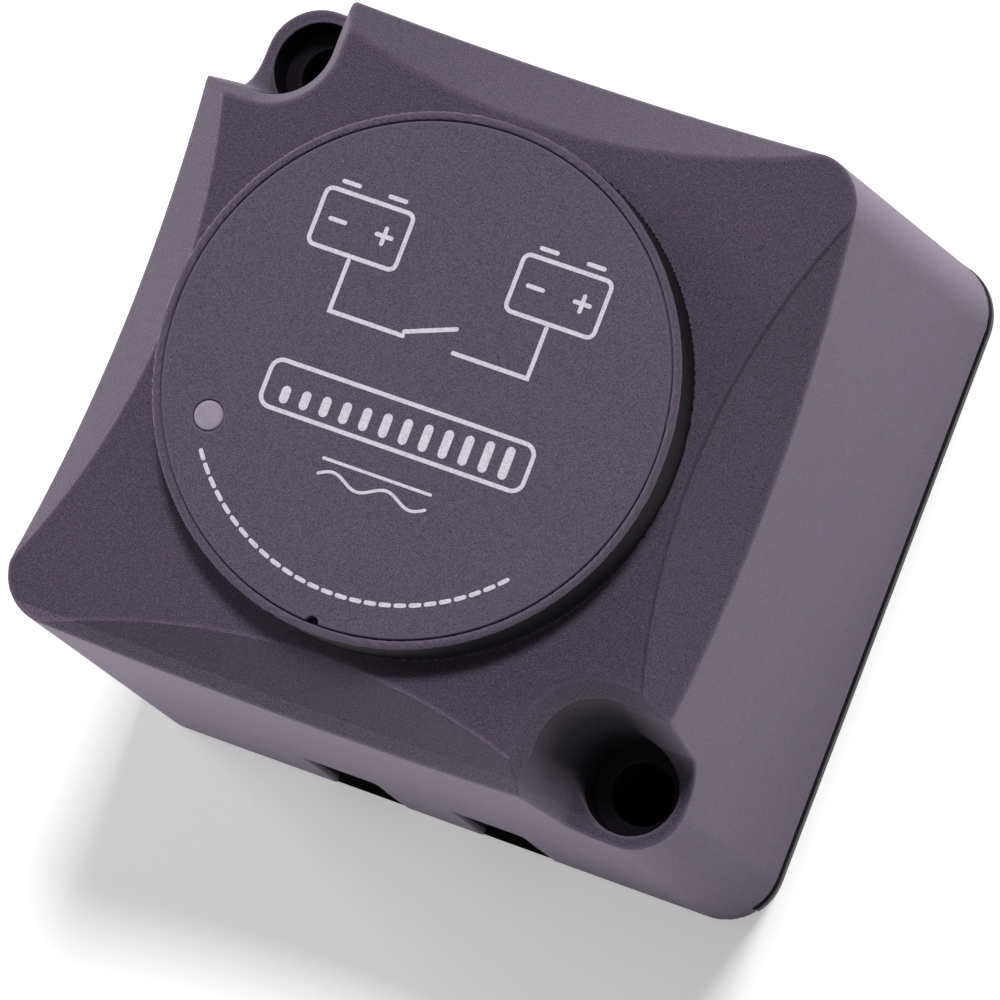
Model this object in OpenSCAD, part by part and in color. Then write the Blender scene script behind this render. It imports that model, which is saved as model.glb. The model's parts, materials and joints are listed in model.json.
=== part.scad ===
// Battery isolator relay: a square moulded housing with a round label boss,
// two terminal studs in bays at the back, and a clapper relay that joins them.
// The relay lies on its back: z = 0 is its mounting face, the label faces +z,
// and the terminal bays are along the -y wall. All lengths are millimetres.

/* [Housing] */
// Width of the square base
base_w = 68; // [67:0.5:74]
// Height of the flat front face above the mounting face
body_h = 51.7; // [50:0.1:60]
// How far each side wall leans in over its height
draft_in = 1.34; // [0.6:0.02:1.8]
// Radius of the upright corners at the base
corner_r = 5.7; // [4.5:0.1:6.5]
// Radius of the upright corners at the front face
corner_top_r = 5.1; // [4:0.1:6]
// Thickness of the side walls
wall_t = 2.2; // [1.8:0.1:2.6]
// Thickness of the front wall
roof_t = 2.2; // [1.8:0.1:2.8]

/* [Front boss and label] */
// Radius of the round boss on the front face
boss_r = 25.4; // [25:0.1:26]
// Height of the boss above the front face
boss_h = 4.8; // [4:0.1:7]
// Thickness of the boss's round wall
boss_wall_t = 2.5; // [1.8:0.1:2.6]
// Width of the rim that frames the label disc
rim_w = 0.83; // [0.6:0.01:1.4]
// Gap between the rim and the label disc
label_gap = 0.12; // [0.05:0.01:0.3]
// Thickness of the label disc
label_t = 1.5; // [0.8:0.1:2]
// Thickness of the web that carries the label disc
label_web_t = 2.1; // [1.4:0.1:2.4]
// Radius of the pry notch in the edge of the disc
pry_notch_r = 0.6; // [0.3:0.05:1]
// Direction of the pry notch from the middle of the disc, in degrees
pry_notch_angle = 268; // [250:1:290]

/* [Side scoops] */
// Radius of the cylinder that hollows each front edge
scoop_r = 95.4; // [75:0.1:140]
// Slope of a scoop in degrees
scoop_tilt = 45; // [42:1:48]
// Distance from the boss to the crease of a scoop
scoop_margin = 1.3; // [0.8:0.1:2]

/* [Mounting corners] */
// Distance of each mounting hole from the two nearest sides
mount_edge = 6.7; // [6.5:0.1:7]
// Diameter of the mounting holes
mount_hole_d = 6; // [4:0.1:6.6]
// Diameter of the counterbore that takes the screw head
counterbore_d = 9.2; // [8:0.1:9.6]
// Height of the ledge that the screw head bears on
ledge_z = 31.5; // [10:0.1:34]
// Height of the floor of the open corner pocket
pocket_floor_z = 35.7; // [34.5:0.1:38]
// Radius of the fillet at the foot of the pocket wall
pocket_fillet_r = 4.2; // [3:0.1:4.6]
// How far the pocket wall leans out from the fillet to the lip
pocket_lean = 1.6; // [0.8:0.1:2]
// Width of the bevelled lip of the pocket
pocket_lip_w = 1.3; // [0.5:0.1:1.6]
// Height of the bevelled lip of the pocket
pocket_lip_h = 1.8; // [1:0.1:2]
// Wall between the pocket and the inside of the housing
pillar_wall_t = 1.6; // [1.2:0.1:1.8]
// Radius of the foot round each mounting hole
foot_r = 5; // [4:0.1:5.4]

/* [Terminal bays] */
// Width of each terminal bay
bay_w = 17.6; // [17:0.1:17.8]
// Thickness of the wall between the two bays
divider_t = 1.6; // [1.2:0.1:1.8]
// Distance of the bays' inner wall from the middle of the housing
bay_back = 11; // [10.8:0.1:11.4]
// Thickness of the walls round the bays
bay_wall_t = 1.5; // [1.2:0.1:1.6]
// Depth of the bays from the mounting face
bay_depth = 18; // [17:0.1:18.6]
// Thickness of the deck that carries the studs
deck_t = 2; // [1.8:0.1:2.4]
// Width of a cable notch
notch_w = 7.5; // [6:0.1:9]
// Height of a cable notch
notch_h = 12.6; // [8:0.1:14]
// Distance of a cable notch from the centre line
notch_x = 7.95; // [6.5:0.05:9]

/* [Terminals] */
// Diameter of the terminal studs
stud_d = 6; // [5:0.1:6.2]
// Distance of the studs from the side with the cable notches
stud_edge = 13; // [12.8:0.1:13.2]
// How far the stud ends stay behind the mounting face
stud_recess = 2; // [1:0.1:4]
// Thickness of a stud's head
stud_head_t = 2; // [1.2:0.1:2.2]
// Width of a terminal nut across its flats
nut_af = 10; // [9:0.1:10]
// Thickness of a terminal nut
nut_t = 5; // [4:0.1:6]
// Diameter of the flat washers
flat_washer_d = 12; // [11:0.1:12.2]
// Thickness of the flat washers
flat_washer_t = 1.6; // [1:0.1:2]
// Diameter of the spring washers
spring_washer_d = 10.8; // [9.8:0.1:11]
// Thickness of the spring washers
spring_washer_t = 1.6; // [1:0.1:2]
// Diameter of the rubber seals under the bus bars
seal_d = 9; // [8:0.1:9.6]
// Thickness of the rubber seals
seal_t = 1; // [0.6:0.1:1.2]

/* [Contacts] */
// Width of the bus bars
bus_w = 12; // [11:0.1:12.4]
// Thickness of the bus bars
bus_t = 2; // [1.6:0.1:2.2]
// Radius of the contact tips
tip_r = 2.5; // [2:0.1:2.7]
// Thickness of a contact tip
tip_t = 1; // [0.8:0.1:1.2]
// Gap between the open contacts
contact_gap = 1.8; // [1.2:0.1:2.2]
// Width of the moving contact bridge
bridge_w = 6.4; // [6:0.1:6.6]
// Thickness of the moving contact bridge
bridge_t = 1.5; // [1.2:0.1:1.8]
// Length of the contact pressure spring
pressure_spring_l = 3; // [2.8:0.1:3.3]

/* [Magnet] */
// Distance of the coil's axis from the middle of the housing
coil_y = 12; // [11.8:0.1:12.2]
// Diameter of the iron core
core_d = 8; // [6:0.1:8.4]
// Diameter of the pole face on the core
pole_d = 12; // [10:0.1:12.4]
// Thickness of the pole face
pole_t = 1; // [0.8:0.1:1.2]
// Outer diameter of the wound copper
winding_d = 20; // [16:0.1:20.6]
// Length of the coil former
bobbin_l = 20.8; // [20.2:0.1:21.4]
// Diameter of the former's flanges
flange_d = 22; // [21.4:0.1:22.2]
// Thickness of the former's flanges
flange_t = 1.2; // [0.8:0.1:1.6]
// Wall of the former round the core
former_wall_t = 1.3; // [0.8:0.1:1.5]
// Thickness of the iron yoke and its upright
yoke_t = 2; // [1.8:0.1:2.2]
// Diameter of the hinge pin
hinge_pin_d = 2; // [1.6:0.1:2.2]
// Width of the armature
armature_w = 17; // [16:0.1:17.4]
// Thickness of the armature
armature_t = 2; // [1.8:0.1:2.2]
// Diameter of the return spring's wire
return_wire_d = 0.7; // [0.5:0.05:0.8]
// Turns of the return spring
return_turns = 6; // [4:1:7]

/* [Circuit board] */
// Gap between the board's edges and the housing round them
board_margin = 1.7; // [1.5:0.1:2]
// Thickness of the board
board_t = 1.6; // [1:0.1:1.8]
// Height of the studs that the board hangs from
board_stud_h = 2.4; // [2.2:0.1:2.6]
// Distance of the indicator from the middle, to the left
led_x = 17.6; // [17:0.1:18]
// Distance of the indicator from the middle, downwards
led_y = 9.5; // [8.8:0.1:10]
// Diameter of the indicator window
led_window_d = 2.9; // [2:0.1:3.2]

/* [Back] */
// Thickness of the rear cover
cover_t = 0.9; // [0.7:0.1:1.1]
// Thickness of the gasket between the cover and the housing
gasket_t = 0.8; // [0.5:0.1:0.9]
// How far the gasket stays back from the outer edge
gasket_inset = 0.4; // [0.2:0.1:0.6]
// Diameter of the cover's press pegs
peg_d = 3; // [2:0.1:3.2]
// Length of the cover's press pegs
peg_l = 6; // [4:0.1:7]
// Diameter of the inlet for the negative lead
lead_bore_d = 3; // [2:0.1:3.2]

/* [Hidden] */

// Roundness of circles, and of the rounds inside a hull
$fn = 96;
hull_sides = 32;
// Overrun of every cut past the face that it opens
over = 1;
// Thickness of the slices that a hull spans
slice_t = 0.01;
// Gap between fixed pieces that slide together
fit_gap = 0.05;
// Gap that parts laid side by side keep
side_gap = 0.3;

// Housing
base_half = base_w / 2;
draft_slope = draft_in / body_h;
function half_at(z) = base_half - draft_slope * z;
front_wall_y = base_half - wall_t;
inner_r = corner_r - wall_t;
seat_t = cover_t + gasket_t;
front_z = body_h + boss_h;
scoop_start = boss_r + scoop_margin;
scoop_s = sin(scoop_tilt);
scoop_c = cos(scoop_tilt);
scoop_len = 2 * base_w;
roof_z = body_h - roof_t;
turn_line = scoop_start * scoop_s + body_h * scoop_c - wall_t;
roof_half = (turn_line - roof_z * scoop_c) / scoop_s;
turn_z = (turn_line - scoop_s * front_wall_y) / (scoop_c - scoop_s * draft_slope);
turn_half = half_at(turn_z) - wall_t;
function room_half_at(z) = min(half_at(z) - wall_t, (turn_line - z * scoop_c) / scoop_s);
// Width of the seat that the wall with the notches gives the cover, beside the bays
seat_lip_w = 1.5;

// Boss and label
label_seat_r = boss_r - rim_w;
label_r = label_seat_r - label_gap;
label_z = front_z - label_t;
boss_roof_z = label_z - label_web_t;
boss_inner_r = boss_r - boss_wall_t;

// Mounting corners, drawn in the +x +y corner and turned to their own
mount_turns = [90, -90];
mount_at = base_half - mount_edge;
pocket_r = pocket_fillet_r + pocket_lean;
pocket_lip_r = pocket_r + pocket_lip_w;
pocket_lip_z = body_h - pocket_lip_h;
pocket_top_z = front_z + over;
pocket_steps = 8;
pillar_r = pocket_r + pillar_wall_t;
corner_reach = mount_edge + over;

// Bays
deck_z = bay_depth + deck_t;
bay_in = divider_t / 2;
bay_out = bay_in + bay_w;
bay_block_half = bay_out + bay_wall_t;
bay_block_back = bay_back - bay_wall_t;

// Terminals
stud_x = bay_in + bay_w / 2;
stud_y = base_half - stud_edge;
stud_head_d = bus_w - 2 * tip_t;
stud_gap = 0.1;
washer_gap = 0.2;
washer_split = 14;
thread_gap = 0.05;
thread_depth = 0.5;
bus_top_z = deck_z + bus_t;
bus_front = stud_y + bus_w / 2;
spring_washer_z = bay_depth - flat_washer_t - spring_washer_t;
nut_z = spring_washer_z - nut_t;
nut_chamfer = 0.6;
thread_chamfer = 0.5;

// Contacts. The moving group is drawn closed, then swung open about the hinge
contact_clear = 1.3;
contact_y = stud_y - stud_head_d / 2 - contact_clear - bridge_w / 2;
bus_back = contact_y - tip_r - side_gap;

// Sense pins, one at the inner corner of each bus bar
sense_pin_d = 1;
sense_inset = 1.3;
sense_x = stud_x + bus_w / 2 - sense_inset;
sense_y = bus_back + sense_inset;
pin_proud = 0.6;

// Heights of the contacts
closed_gap = 0.05;
tip_z = bus_top_z + tip_t + closed_gap;
bridge_z = tip_z + tip_t;
bridge_top_z = bridge_z + bridge_t;
bridge_half = stud_x + tip_r + tip_t;
carrier_under_z = bridge_top_z + pressure_spring_l;
carrier_w = 13;
carrier_t = 2;
carrier_lap = 5;
carrier_post_d = 3;
clip_d = 5;
clip_t = 0.7;
clip_bite = 0.3;
rivet_d = 2;
rivet_head_d = 3.4;
rivet_head_t = 0.6;
rivet_x = 4;
spring_sides = 6;
spring_rings = 10;
pressure_wire_d = 0.5;
pressure_turns = 3;
pressure_r = 2.1;

// Relay chassis
chassis_z = cover_t;
chassis_t = 3;
chassis_top_z = chassis_z + chassis_t;
chassis_edge = 1.1;
chassis_bar_w = 8;
chassis_bar_y = 2;
chassis_post_r = 3;
chassis_post_inset = 9;
chassis_post_x = base_half - chassis_post_inset;
chassis_post_top = deck_z;
chassis_rib_t = 2;
chassis_front = bay_block_back - fit_gap;

// Magnet
yoke_z = chassis_top_z;
bobbin_z = yoke_z + yoke_t;
bobbin_top_z = bobbin_z + bobbin_l;
pole_top_z = bobbin_top_z + pole_t;
former_r = core_d / 2 + fit_gap + former_wall_t;
upright_gap = 1.2;
hinge_y = coil_y + flange_d / 2 + upright_gap + yoke_t / 2;
armature_z = pole_top_z + closed_gap;
armature_top_z = armature_z + armature_t;
hinge_z = armature_z + armature_t / 2;
hinge_gap = 0.03;
knuckle_wall = 1.2;
knuckle_r = hinge_pin_d / 2 + knuckle_wall;
knuckle_gap = 0.35;
ear_gap = 0.4;
ear_t = 2;
ear_in = armature_w / 2 + ear_gap;
yoke_half = ear_in + ear_t;
yoke_front_gap = 2.5;
hinge_pin_half = yoke_half + side_gap;
armature_front_y = coil_y - pole_d / 2 - yoke_front_gap;
carrier_top_z = max(armature_top_z, carrier_under_z) + carrier_t;
chassis_half = yoke_half + chassis_edge;
chassis_back_y = hinge_y + yoke_t / 2 + chassis_edge;
coil_pin_d = 1;
coil_pin_gap = 1.3;
coil_pin_x = armature_w / 2 + coil_pin_gap + coil_pin_d / 2;
pin_tower_r = 1.4;
pin_tower_h = 1.6;

// Swing of the armature, and the height of the carrier's underside when open
contact_arm = hinge_y + contact_y;
open_angle = asin(contact_gap / contact_arm);
carrier_drop = hinge_z - carrier_under_z;
function open_under_z(y) = hinge_z - carrier_drop / cos(open_angle) + (hinge_y - y) * tan(open_angle);

// Return spring on its post
return_r = 2.9;
return_out_r = return_r + return_wire_d / 2;
spring_post_r = return_out_r + fit_gap;
spring_post_gap = 1.5;
spring_y = spring_post_gap + spring_post_r - bay_block_back;
spring_seat_drop = 3;
spring_seat_z = deck_z - spring_seat_drop;
spring_pin_r = return_r - return_wire_d / 2 - side_gap;
spring_pin_h = 2.4;
return_top_z = open_under_z(spring_y + return_out_r) - closed_gap;

// Grommet of the negative lead, through the inner wall of a bay
grommet_neck_d = 5;
grommet_flange_d = 7;
grommet_flange_t = 1.2;
grommet_x = bay_out - grommet_flange_d / 2 - side_gap;
grommet_z = bay_depth / 2;

// Posts that take the cover's pegs
post_r = 3.2;
post_sink = 0.6;
post_at = front_wall_y - post_r + post_sink;
post_mid = 12;
post_spots = [[post_at, post_at], [-post_at, -post_at], [post_at, -post_mid], [-post_at, post_mid]];
post_top_z = deck_z;

// Screws
screw_d = 3;
screw_head_d = 5.4;
screw_head_t = 1.6;
screw_slot_w = 0.8;
screw_slot_d = 0.7;
screw_gap = 0.1;
screw_head_gap = 0.2;
yoke_screw_x = 7;
yoke_screw_y = coil_y - core_d / 2 - screw_head_d / 2;
chassis_screw_l = 9;

// Board
board_r = 3;
board_top_z = roof_z - board_stud_h;
board_z = board_top_z - board_t;
board_half = room_half_at(board_top_z) - board_margin;
board_gap = 0.6;
board_stud_r = 2.4;
board_stud_inset = 8.5;
board_stud_at = board_half - board_stud_inset;
board_screw_d = 2.5;
board_screw_head_d = 4.4;
board_screw_head_t = 1.5;
board_screw_l = 5.4;

// Parts on the board
led_d = 3;
led_flange_d = 3.8;
led_flange_t = 0.8;
led_h = 4.2;
window_flange_d = 4.6;
window_flange_t = 1;
lead_t = 0.3;
chip_size = [8.6, 3.9, 1.6];
chip_share = [0.08, 0.11];
chip_leads = 7;
chip_pitch = 1.27;
chip_lead = [0.42, 1.2, 0.3];
transistor_size = [6.6, 6.1, 2.3];
transistor_share = [0, 0.57];
transistor_tab = [5.4, 1.4, 0.5];
transistor_lead_w = 0.8;
transistor_pitch = 4.6;
capacitor_d = 8;
capacitor_h = 9;
capacitor_neck_t = 0.4;
capacitor_shares = [[0.64, 0.08], [0.64, 0.4]];
capacitor_lead_d = 0.6;
capacitor_pitch = 3.5;
resistor_size = [1.6, 3.2, 0.6];
resistor_count = 6;
resistor_pitch = 2.6;
resistor_share = [-0.19, -0.15];
diode_size = [4.3, 2.6, 2.2];
diode_lead = [0.5, 1.5, 0.4];
diode_shares = [[0.55, 0.24], [0.3, -0.45]];

module each_mount() {
    for (turn = mount_turns) rotate([0, 0, turn]) translate([mount_at, mount_at, 0]) children();
}

module each_side() {
    for (side = [-1, 1]) translate([side * stud_x, -stud_y, 0]) children();
}

module each_board_stud() {
    for (sx = [-1, 1], sy = [-1, 1]) translate([sx * board_stud_at, sy * board_stud_at, 0]) children();
}

module each_chassis_post() {
    for (side = [-1, 1]) translate([side * chassis_post_x, chassis_bar_y, 0]) children();
}

// Places its children on the board's front, at a share of the board's half width
module on_board(share) {
    translate([share.x * board_half, share.y * board_half, board_top_z]) children();
}

// Holds its children at the open position of the armature
module swung_open() {
    translate([0, hinge_y, hinge_z]) {
        rotate([-open_angle, 0, 0]) translate([0, -hinge_y, -hinge_z]) children();
    }
}

// Flat square with round corners about the origin
module round_square(half, r) {
    square([2 * half, 2 * (half - r)], center = true);
    square([2 * (half - r), 2 * half], center = true);
    for (sx = [-1, 1], sy = [-1, 1]) translate([sx * (half - r), sy * (half - r)]) circle(r);
}

// One thin level of a box whose walls lean
module box_level(z, half, r) {
    for (sx = [-1, 1], sy = [-1, 1]) {
        translate([sx * (half - r), sy * (half - r), z]) cylinder(r = r, h = slice_t, $fn = hull_sides);
    }
}

module tube(outer_r, bore_r, h) {
    difference() {
        cylinder(r = outer_r, h = h);
        translate([0, 0, -over]) cylinder(r = bore_r, h = h + 2 * over);
    }
}

// Screw that points up, with the underside of its head at z = 0
module screw(d, l, head_d, head_t) {
    difference() {
        union() {
            cylinder(d = d, h = l);
            translate([0, 0, -head_t]) cylinder(d = head_d, h = head_t);
        }
        translate([-head_d, -screw_slot_w / 2, -head_t - over]) {
            cube([2 * head_d, screw_slot_w, screw_slot_d + over]);
        }
    }
}

// Points of one ring of a coil spring whose wire ends lie flat
function spring_ring(i, rings, turns, r, wire_r, rise) = [
    for (k = [0:spring_sides - 1])
        let (turn = 360 * turns * i / rings, side = 360 * k / spring_sides)
        [(r + wire_r * cos(side)) * cos(turn), (r + wire_r * cos(side)) * sin(turn),
            wire_r + rise * i / rings + wire_r * sin(side)]];

// Coil spring that stands on z = 0
module coil_spring(r, wire_d, turns, l) {
    rings = turns * spring_rings;
    rise = l - wire_d;
    points = [for (i = [0:rings]) each spring_ring(i, rings, turns, r, wire_d / 2, rise)];
    walls = [for (i = [0:rings - 1], k = [0:spring_sides - 1])
        let (next = (k + 1) % spring_sides, a = i * spring_sides, b = (i + 1) * spring_sides)
        each [[a + k, a + next, b + next], [a + k, b + next, b + k]]];
    first = [[for (k = [spring_sides - 1:-1:0]) k]];
    last = [[for (k = [0:spring_sides - 1]) rings * spring_sides + k]];
    polyhedron(points = points, faces = concat(first, walls, last));
}

module outer_body() {
    hull() {
        box_level(0, base_half, corner_r);
        box_level(body_h - slice_t, half_at(body_h), corner_top_r);
    }
}

// Four large cylinders that hollow the front edges
module scoops() {
    for (turn = [0:90:270]) {
        rotate([0, 0, turn]) {
            translate([scoop_start + scoop_r * scoop_s, 0, body_h + scoop_r * scoop_c]) {
                rotate([0, 90 + scoop_tilt, 0]) {
                    cylinder(r = scoop_r, h = scoop_len, center = true, $fn = 4 * $fn);
                }
            }
        }
    }
}

module pocket_profile() {
    fillet = [for (i = [0:pocket_steps])
        let (a = 90 * i / pocket_steps)
        [pocket_fillet_r * sin(a), pocket_floor_z + pocket_fillet_r * (1 - cos(a))]];
    lip = [[pocket_r, pocket_lip_z], [pocket_lip_r, body_h], [pocket_lip_r, pocket_top_z]];
    polygon(concat(fillet, lip, [[0, pocket_top_z]]));
}

// Open corner above a mounting hole: round towards the middle, open to both sides
module corner_pocket() {
    rotate_extrude() pocket_profile();
    translate([corner_reach, 0, 0]) rotate([90, 0, -90]) linear_extrude(corner_reach) pocket_profile();
    rotate([90, 0, 180]) linear_extrude(corner_reach) pocket_profile();
    translate([0, 0, pocket_floor_z]) cube([corner_reach, corner_reach, pocket_top_z - pocket_floor_z]);
}

// Solid corner round a mounting hole, r from its axis
module corner_pillar(r) {
    circle(r);
    translate([0, -r]) square([corner_reach, corner_reach + r]);
    translate([-r, 0]) square([corner_reach + r, corner_reach]);
}

// The block at the -y wall that holds the two bays, and the cover's seat beside it
module bay_block() {
    translate([-bay_block_half, -base_w]) square([2 * bay_block_half, base_w - bay_block_back]);
    translate([-base_w, -base_w]) square([2 * base_w, base_w - front_wall_y + seat_lip_w]);
}

module posts(grow) {
    for (spot = post_spots) translate(spot) circle(post_r + grow);
}

module chassis_posts() {
    for (side = [-1, 1]) {
        translate([side * chassis_post_x, chassis_bar_y]) circle(chassis_post_r);
        translate([side * (chassis_post_x + chassis_post_inset / 2), chassis_bar_y]) {
            square([chassis_post_inset, chassis_rib_t], center = true);
        }
    }
}

// Inside of the housing, without what stands in it
module room() {
    hull() {
        box_level(-over, front_wall_y, inner_r);
        box_level(turn_z, turn_half, inner_r);
        box_level(roof_z - slice_t, roof_half, inner_r);
    }
    translate([0, 0, roof_z - over]) cylinder(r = boss_inner_r, h = boss_roof_z - roof_z + over);
}

module chamber() {
    difference() {
        room();
        translate([0, 0, -over]) linear_extrude(deck_z + over) bay_block();
        translate([0, 0, -over]) linear_extrude(post_top_z + over) posts(0);
        translate([0, 0, chassis_top_z]) linear_extrude(chassis_post_top - chassis_top_z) chassis_posts();
        each_mount() translate([0, 0, -over]) linear_extrude(front_z) corner_pillar(pillar_r);
        each_board_stud() translate([0, 0, board_top_z]) cylinder(r = board_stud_r, h = roof_t + board_stud_h);
    }
}

module bays() {
    for (side = [-1, 1]) {
        translate([side * (bay_in + bay_out) / 2 - bay_w / 2, -front_wall_y, -over]) {
            cube([bay_w, front_wall_y - bay_back, bay_depth + over]);
        }
        translate([side * notch_x - notch_w / 2, -base_half - over, -over]) {
            cube([notch_w, wall_t + 2 * over, notch_h + over]);
        }
    }
}

// Plan of the back that the cover closes, with a hole round each foot
module cover_plan(grow, hole_r) {
    difference() {
        intersection() {
            round_square(base_half + grow, corner_r + grow);
            translate([-base_w, -front_wall_y]) square([2 * base_w, 2 * base_w]);
        }
        translate([-bay_out, -base_w]) square([2 * bay_out, base_w - bay_back]);
        for (turn = mount_turns) rotate(turn) translate([mount_at, mount_at]) circle(hole_r);
    }
}

module housing() {
    color("#4b4552") difference() {
        union() {
            difference() {
                outer_body();
                scoops();
            }
            translate([0, 0, body_h - over]) cylinder(r = boss_r, h = boss_h + over);
        }
        each_mount() {
            corner_pocket();
            translate([0, 0, ledge_z]) cylinder(d = counterbore_d, h = front_z);
            translate([0, 0, -over]) cylinder(d = mount_hole_d, h = front_z);
        }
        chamber();
        bays();
        translate([0, 0, -over]) linear_extrude(seat_t + over) cover_plan(over, foot_r);
        translate([0, 0, label_z]) cylinder(r = label_seat_r, h = label_t + over);
        translate([-led_x, -led_y, boss_roof_z - over]) {
            cylinder(d = led_window_d + 2 * fit_gap, h = label_web_t + 2 * over);
        }
        each_side() {
            translate([0, 0, bay_depth - over]) cylinder(d = stud_d + 2 * stud_gap, h = deck_t + 2 * over);
            translate([0, 0, deck_z - seal_t]) cylinder(d = seal_d + 2 * stud_gap, h = seal_t + over);
        }
        translate([grommet_x, -bay_block_back + over, grommet_z]) {
            rotate([90, 0, 0]) cylinder(d = grommet_neck_d + 2 * fit_gap, h = bay_wall_t + 2 * over);
        }
        for (spot = post_spots) {
            translate([spot.x, spot.y, 0]) cylinder(d = peg_d + 2 * fit_gap, h = cover_t + peg_l + over);
        }
        each_chassis_post() {
            cylinder(d = screw_d + 2 * fit_gap, h = chassis_top_z + chassis_screw_l);
        }
        each_board_stud() {
            translate([0, 0, board_z]) cylinder(d = board_screw_d + 2 * fit_gap, h = board_screw_l + fit_gap);
        }
    }
}

module label_disc() {
    color("#5b5565") difference() {
        translate([0, 0, label_z]) cylinder(r = label_r, h = label_t);
        translate([-led_x, -led_y, label_z - over]) {
            cylinder(d = led_window_d + 2 * fit_gap, h = label_t + 2 * over);
        }
        rotate(pry_notch_angle) translate([label_r, 0, label_z - over]) {
            cylinder(r = pry_notch_r, h = label_t + 2 * over);
        }
    }
}

module led_window() {
    color("#c9c2d2") translate([-led_x, -led_y, 0]) {
        translate([0, 0, boss_roof_z]) cylinder(d = led_window_d, h = front_z - boss_roof_z);
        translate([0, 0, boss_roof_z - window_flange_t]) cylinder(d = window_flange_d, h = window_flange_t);
    }
}

module rear_cover() {
    color("#3b363f") {
        linear_extrude(cover_t) cover_plan(0, foot_r + fit_gap);
        for (spot = post_spots) translate([spot.x, spot.y, 0]) cylinder(d = peg_d, h = cover_t + peg_l);
    }
}

module rear_gasket() {
    color("#17161a") translate([0, 0, cover_t]) linear_extrude(gasket_t) difference() {
        cover_plan(-gasket_inset, foot_r + fit_gap);
        difference() {
            round_square(front_wall_y, inner_r);
            bay_block();
            posts(0);
            for (turn = mount_turns) {
                rotate(turn) translate([mount_at, mount_at]) corner_pillar(pillar_r);
            }
        }
        for (spot = post_spots) translate(spot) circle(d = peg_d + 2 * fit_gap);
    }
}

module lead_grommet() {
    color("#1c1b1e") translate([grommet_x, -bay_block_back, grommet_z]) rotate([90, 0, 0]) difference() {
        union() {
            cylinder(d = grommet_neck_d, h = bay_wall_t);
            translate([0, 0, bay_wall_t]) cylinder(d = grommet_flange_d, h = grommet_flange_t);
            translate([0, 0, -grommet_flange_t]) cylinder(d = grommet_flange_d, h = grommet_flange_t);
        }
        translate([0, 0, -grommet_flange_t - over]) {
            cylinder(d = lead_bore_d, h = bay_wall_t + 2 * grommet_flange_t + 2 * over);
        }
    }
}

// Stud whose head lies on the bus bar and whose end is chamfered. Its free end is as
// wide as the thread's crests, and from the nut on it is as narrow as the roots
module stud() {
    translate([0, 0, stud_recess + thread_chamfer]) {
        cylinder(d = stud_d, h = nut_z - stud_recess - thread_chamfer);
    }
    translate([0, 0, nut_z]) cylinder(d = stud_d - 2 * thread_depth, h = bus_top_z - nut_z);
    translate([0, 0, stud_recess]) {
        cylinder(d1 = stud_d - 2 * thread_chamfer, d2 = stud_d, h = thread_chamfer);
    }
    translate([0, 0, bus_top_z]) cylinder(d = stud_head_d, h = stud_head_t);
}

module stud_house() {
    color("#d0b26a") translate([-stud_x, -stud_y, 0]) stud();
}

module stud_start() {
    color("#d0b26a") translate([stud_x, -stud_y, 0]) stud();
}

module stud_seals() {
    color("#1c1b1e") each_side() {
        translate([0, 0, deck_z - seal_t]) tube(seal_d / 2, stud_d / 2 + stud_gap, seal_t);
    }
}

module terminal_flat_washers() {
    color("#b9bcc0") each_side() {
        translate([0, 0, bay_depth - flat_washer_t]) {
            tube(flat_washer_d / 2, stud_d / 2 + washer_gap, flat_washer_t);
        }
    }
}

module terminal_spring_washers() {
    color("#a7aaae") each_side() translate([0, 0, spring_washer_z]) {
        rotate_extrude(angle = 360 - washer_split) translate([stud_d / 2 + washer_gap, 0]) {
            square([spring_washer_d / 2 - stud_d / 2 - washer_gap, spring_washer_t]);
        }
    }
}

module terminal_nuts() {
    nut_r = nut_af / 2 / cos(30);
    color("#c4c6c9") each_side() translate([0, 0, nut_z]) difference() {
        intersection() {
            cylinder(r = nut_r, h = nut_t, $fn = 6);
            union() {
                translate([0, 0, nut_chamfer]) cylinder(r = nut_r, h = nut_t - nut_chamfer);
                cylinder(r1 = nut_r - nut_chamfer, r2 = nut_r, h = nut_chamfer);
            }
        }
        translate([0, 0, -over]) cylinder(d = stud_d - 2 * thread_depth + 2 * thread_gap, h = nut_t + 2 * over);
    }
}

module bus_bar(side) {
    color("#c98a5a") difference() {
        translate([side * stud_x - bus_w / 2, -bus_front, deck_z]) cube([bus_w, bus_front - bus_back, bus_t]);
        translate([side * stud_x, -stud_y, deck_z - over]) cylinder(d = stud_d + 2 * fit_gap, h = bus_t + 2 * over);
        translate([side * sense_x, -sense_y, deck_z - over]) cylinder(d = sense_pin_d, h = bus_t + 2 * over);
    }
}

module bus_bar_house() {
    bus_bar(-1);
}

module bus_bar_start() {
    bus_bar(1);
}

module fixed_tips() {
    color("#dcdcde") for (side = [-1, 1]) {
        translate([side * stud_x, -contact_y, bus_top_z]) cylinder(r = tip_r, h = tip_t);
    }
}

module moving_tips() {
    color("#dcdcde") swung_open() for (side = [-1, 1]) {
        translate([side * stud_x, -contact_y, tip_z]) cylinder(r = tip_r, h = tip_t);
    }
}

module contact_bridge() {
    color("#c98a5a") swung_open() difference() {
        translate([-bridge_half, -contact_y - bridge_w / 2, bridge_z]) cube([2 * bridge_half, bridge_w, bridge_t]);
        translate([0, -contact_y, bridge_z - over]) {
            cylinder(d = carrier_post_d + 2 * fit_gap, h = bridge_t + 2 * over);
        }
    }
}

// Ring that snaps on the carrier's post and holds the bridge
module bridge_clip() {
    color("#9a9da2") swung_open() translate([0, -contact_y, bridge_z - clip_t]) {
        tube(clip_d / 2, carrier_post_d / 2 + fit_gap, clip_t);
    }
}

module pressure_spring() {
    color("#9a9da2") swung_open() translate([0, -contact_y, bridge_top_z]) {
        coil_spring(pressure_r, pressure_wire_d, pressure_turns, pressure_spring_l);
    }
}

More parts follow.
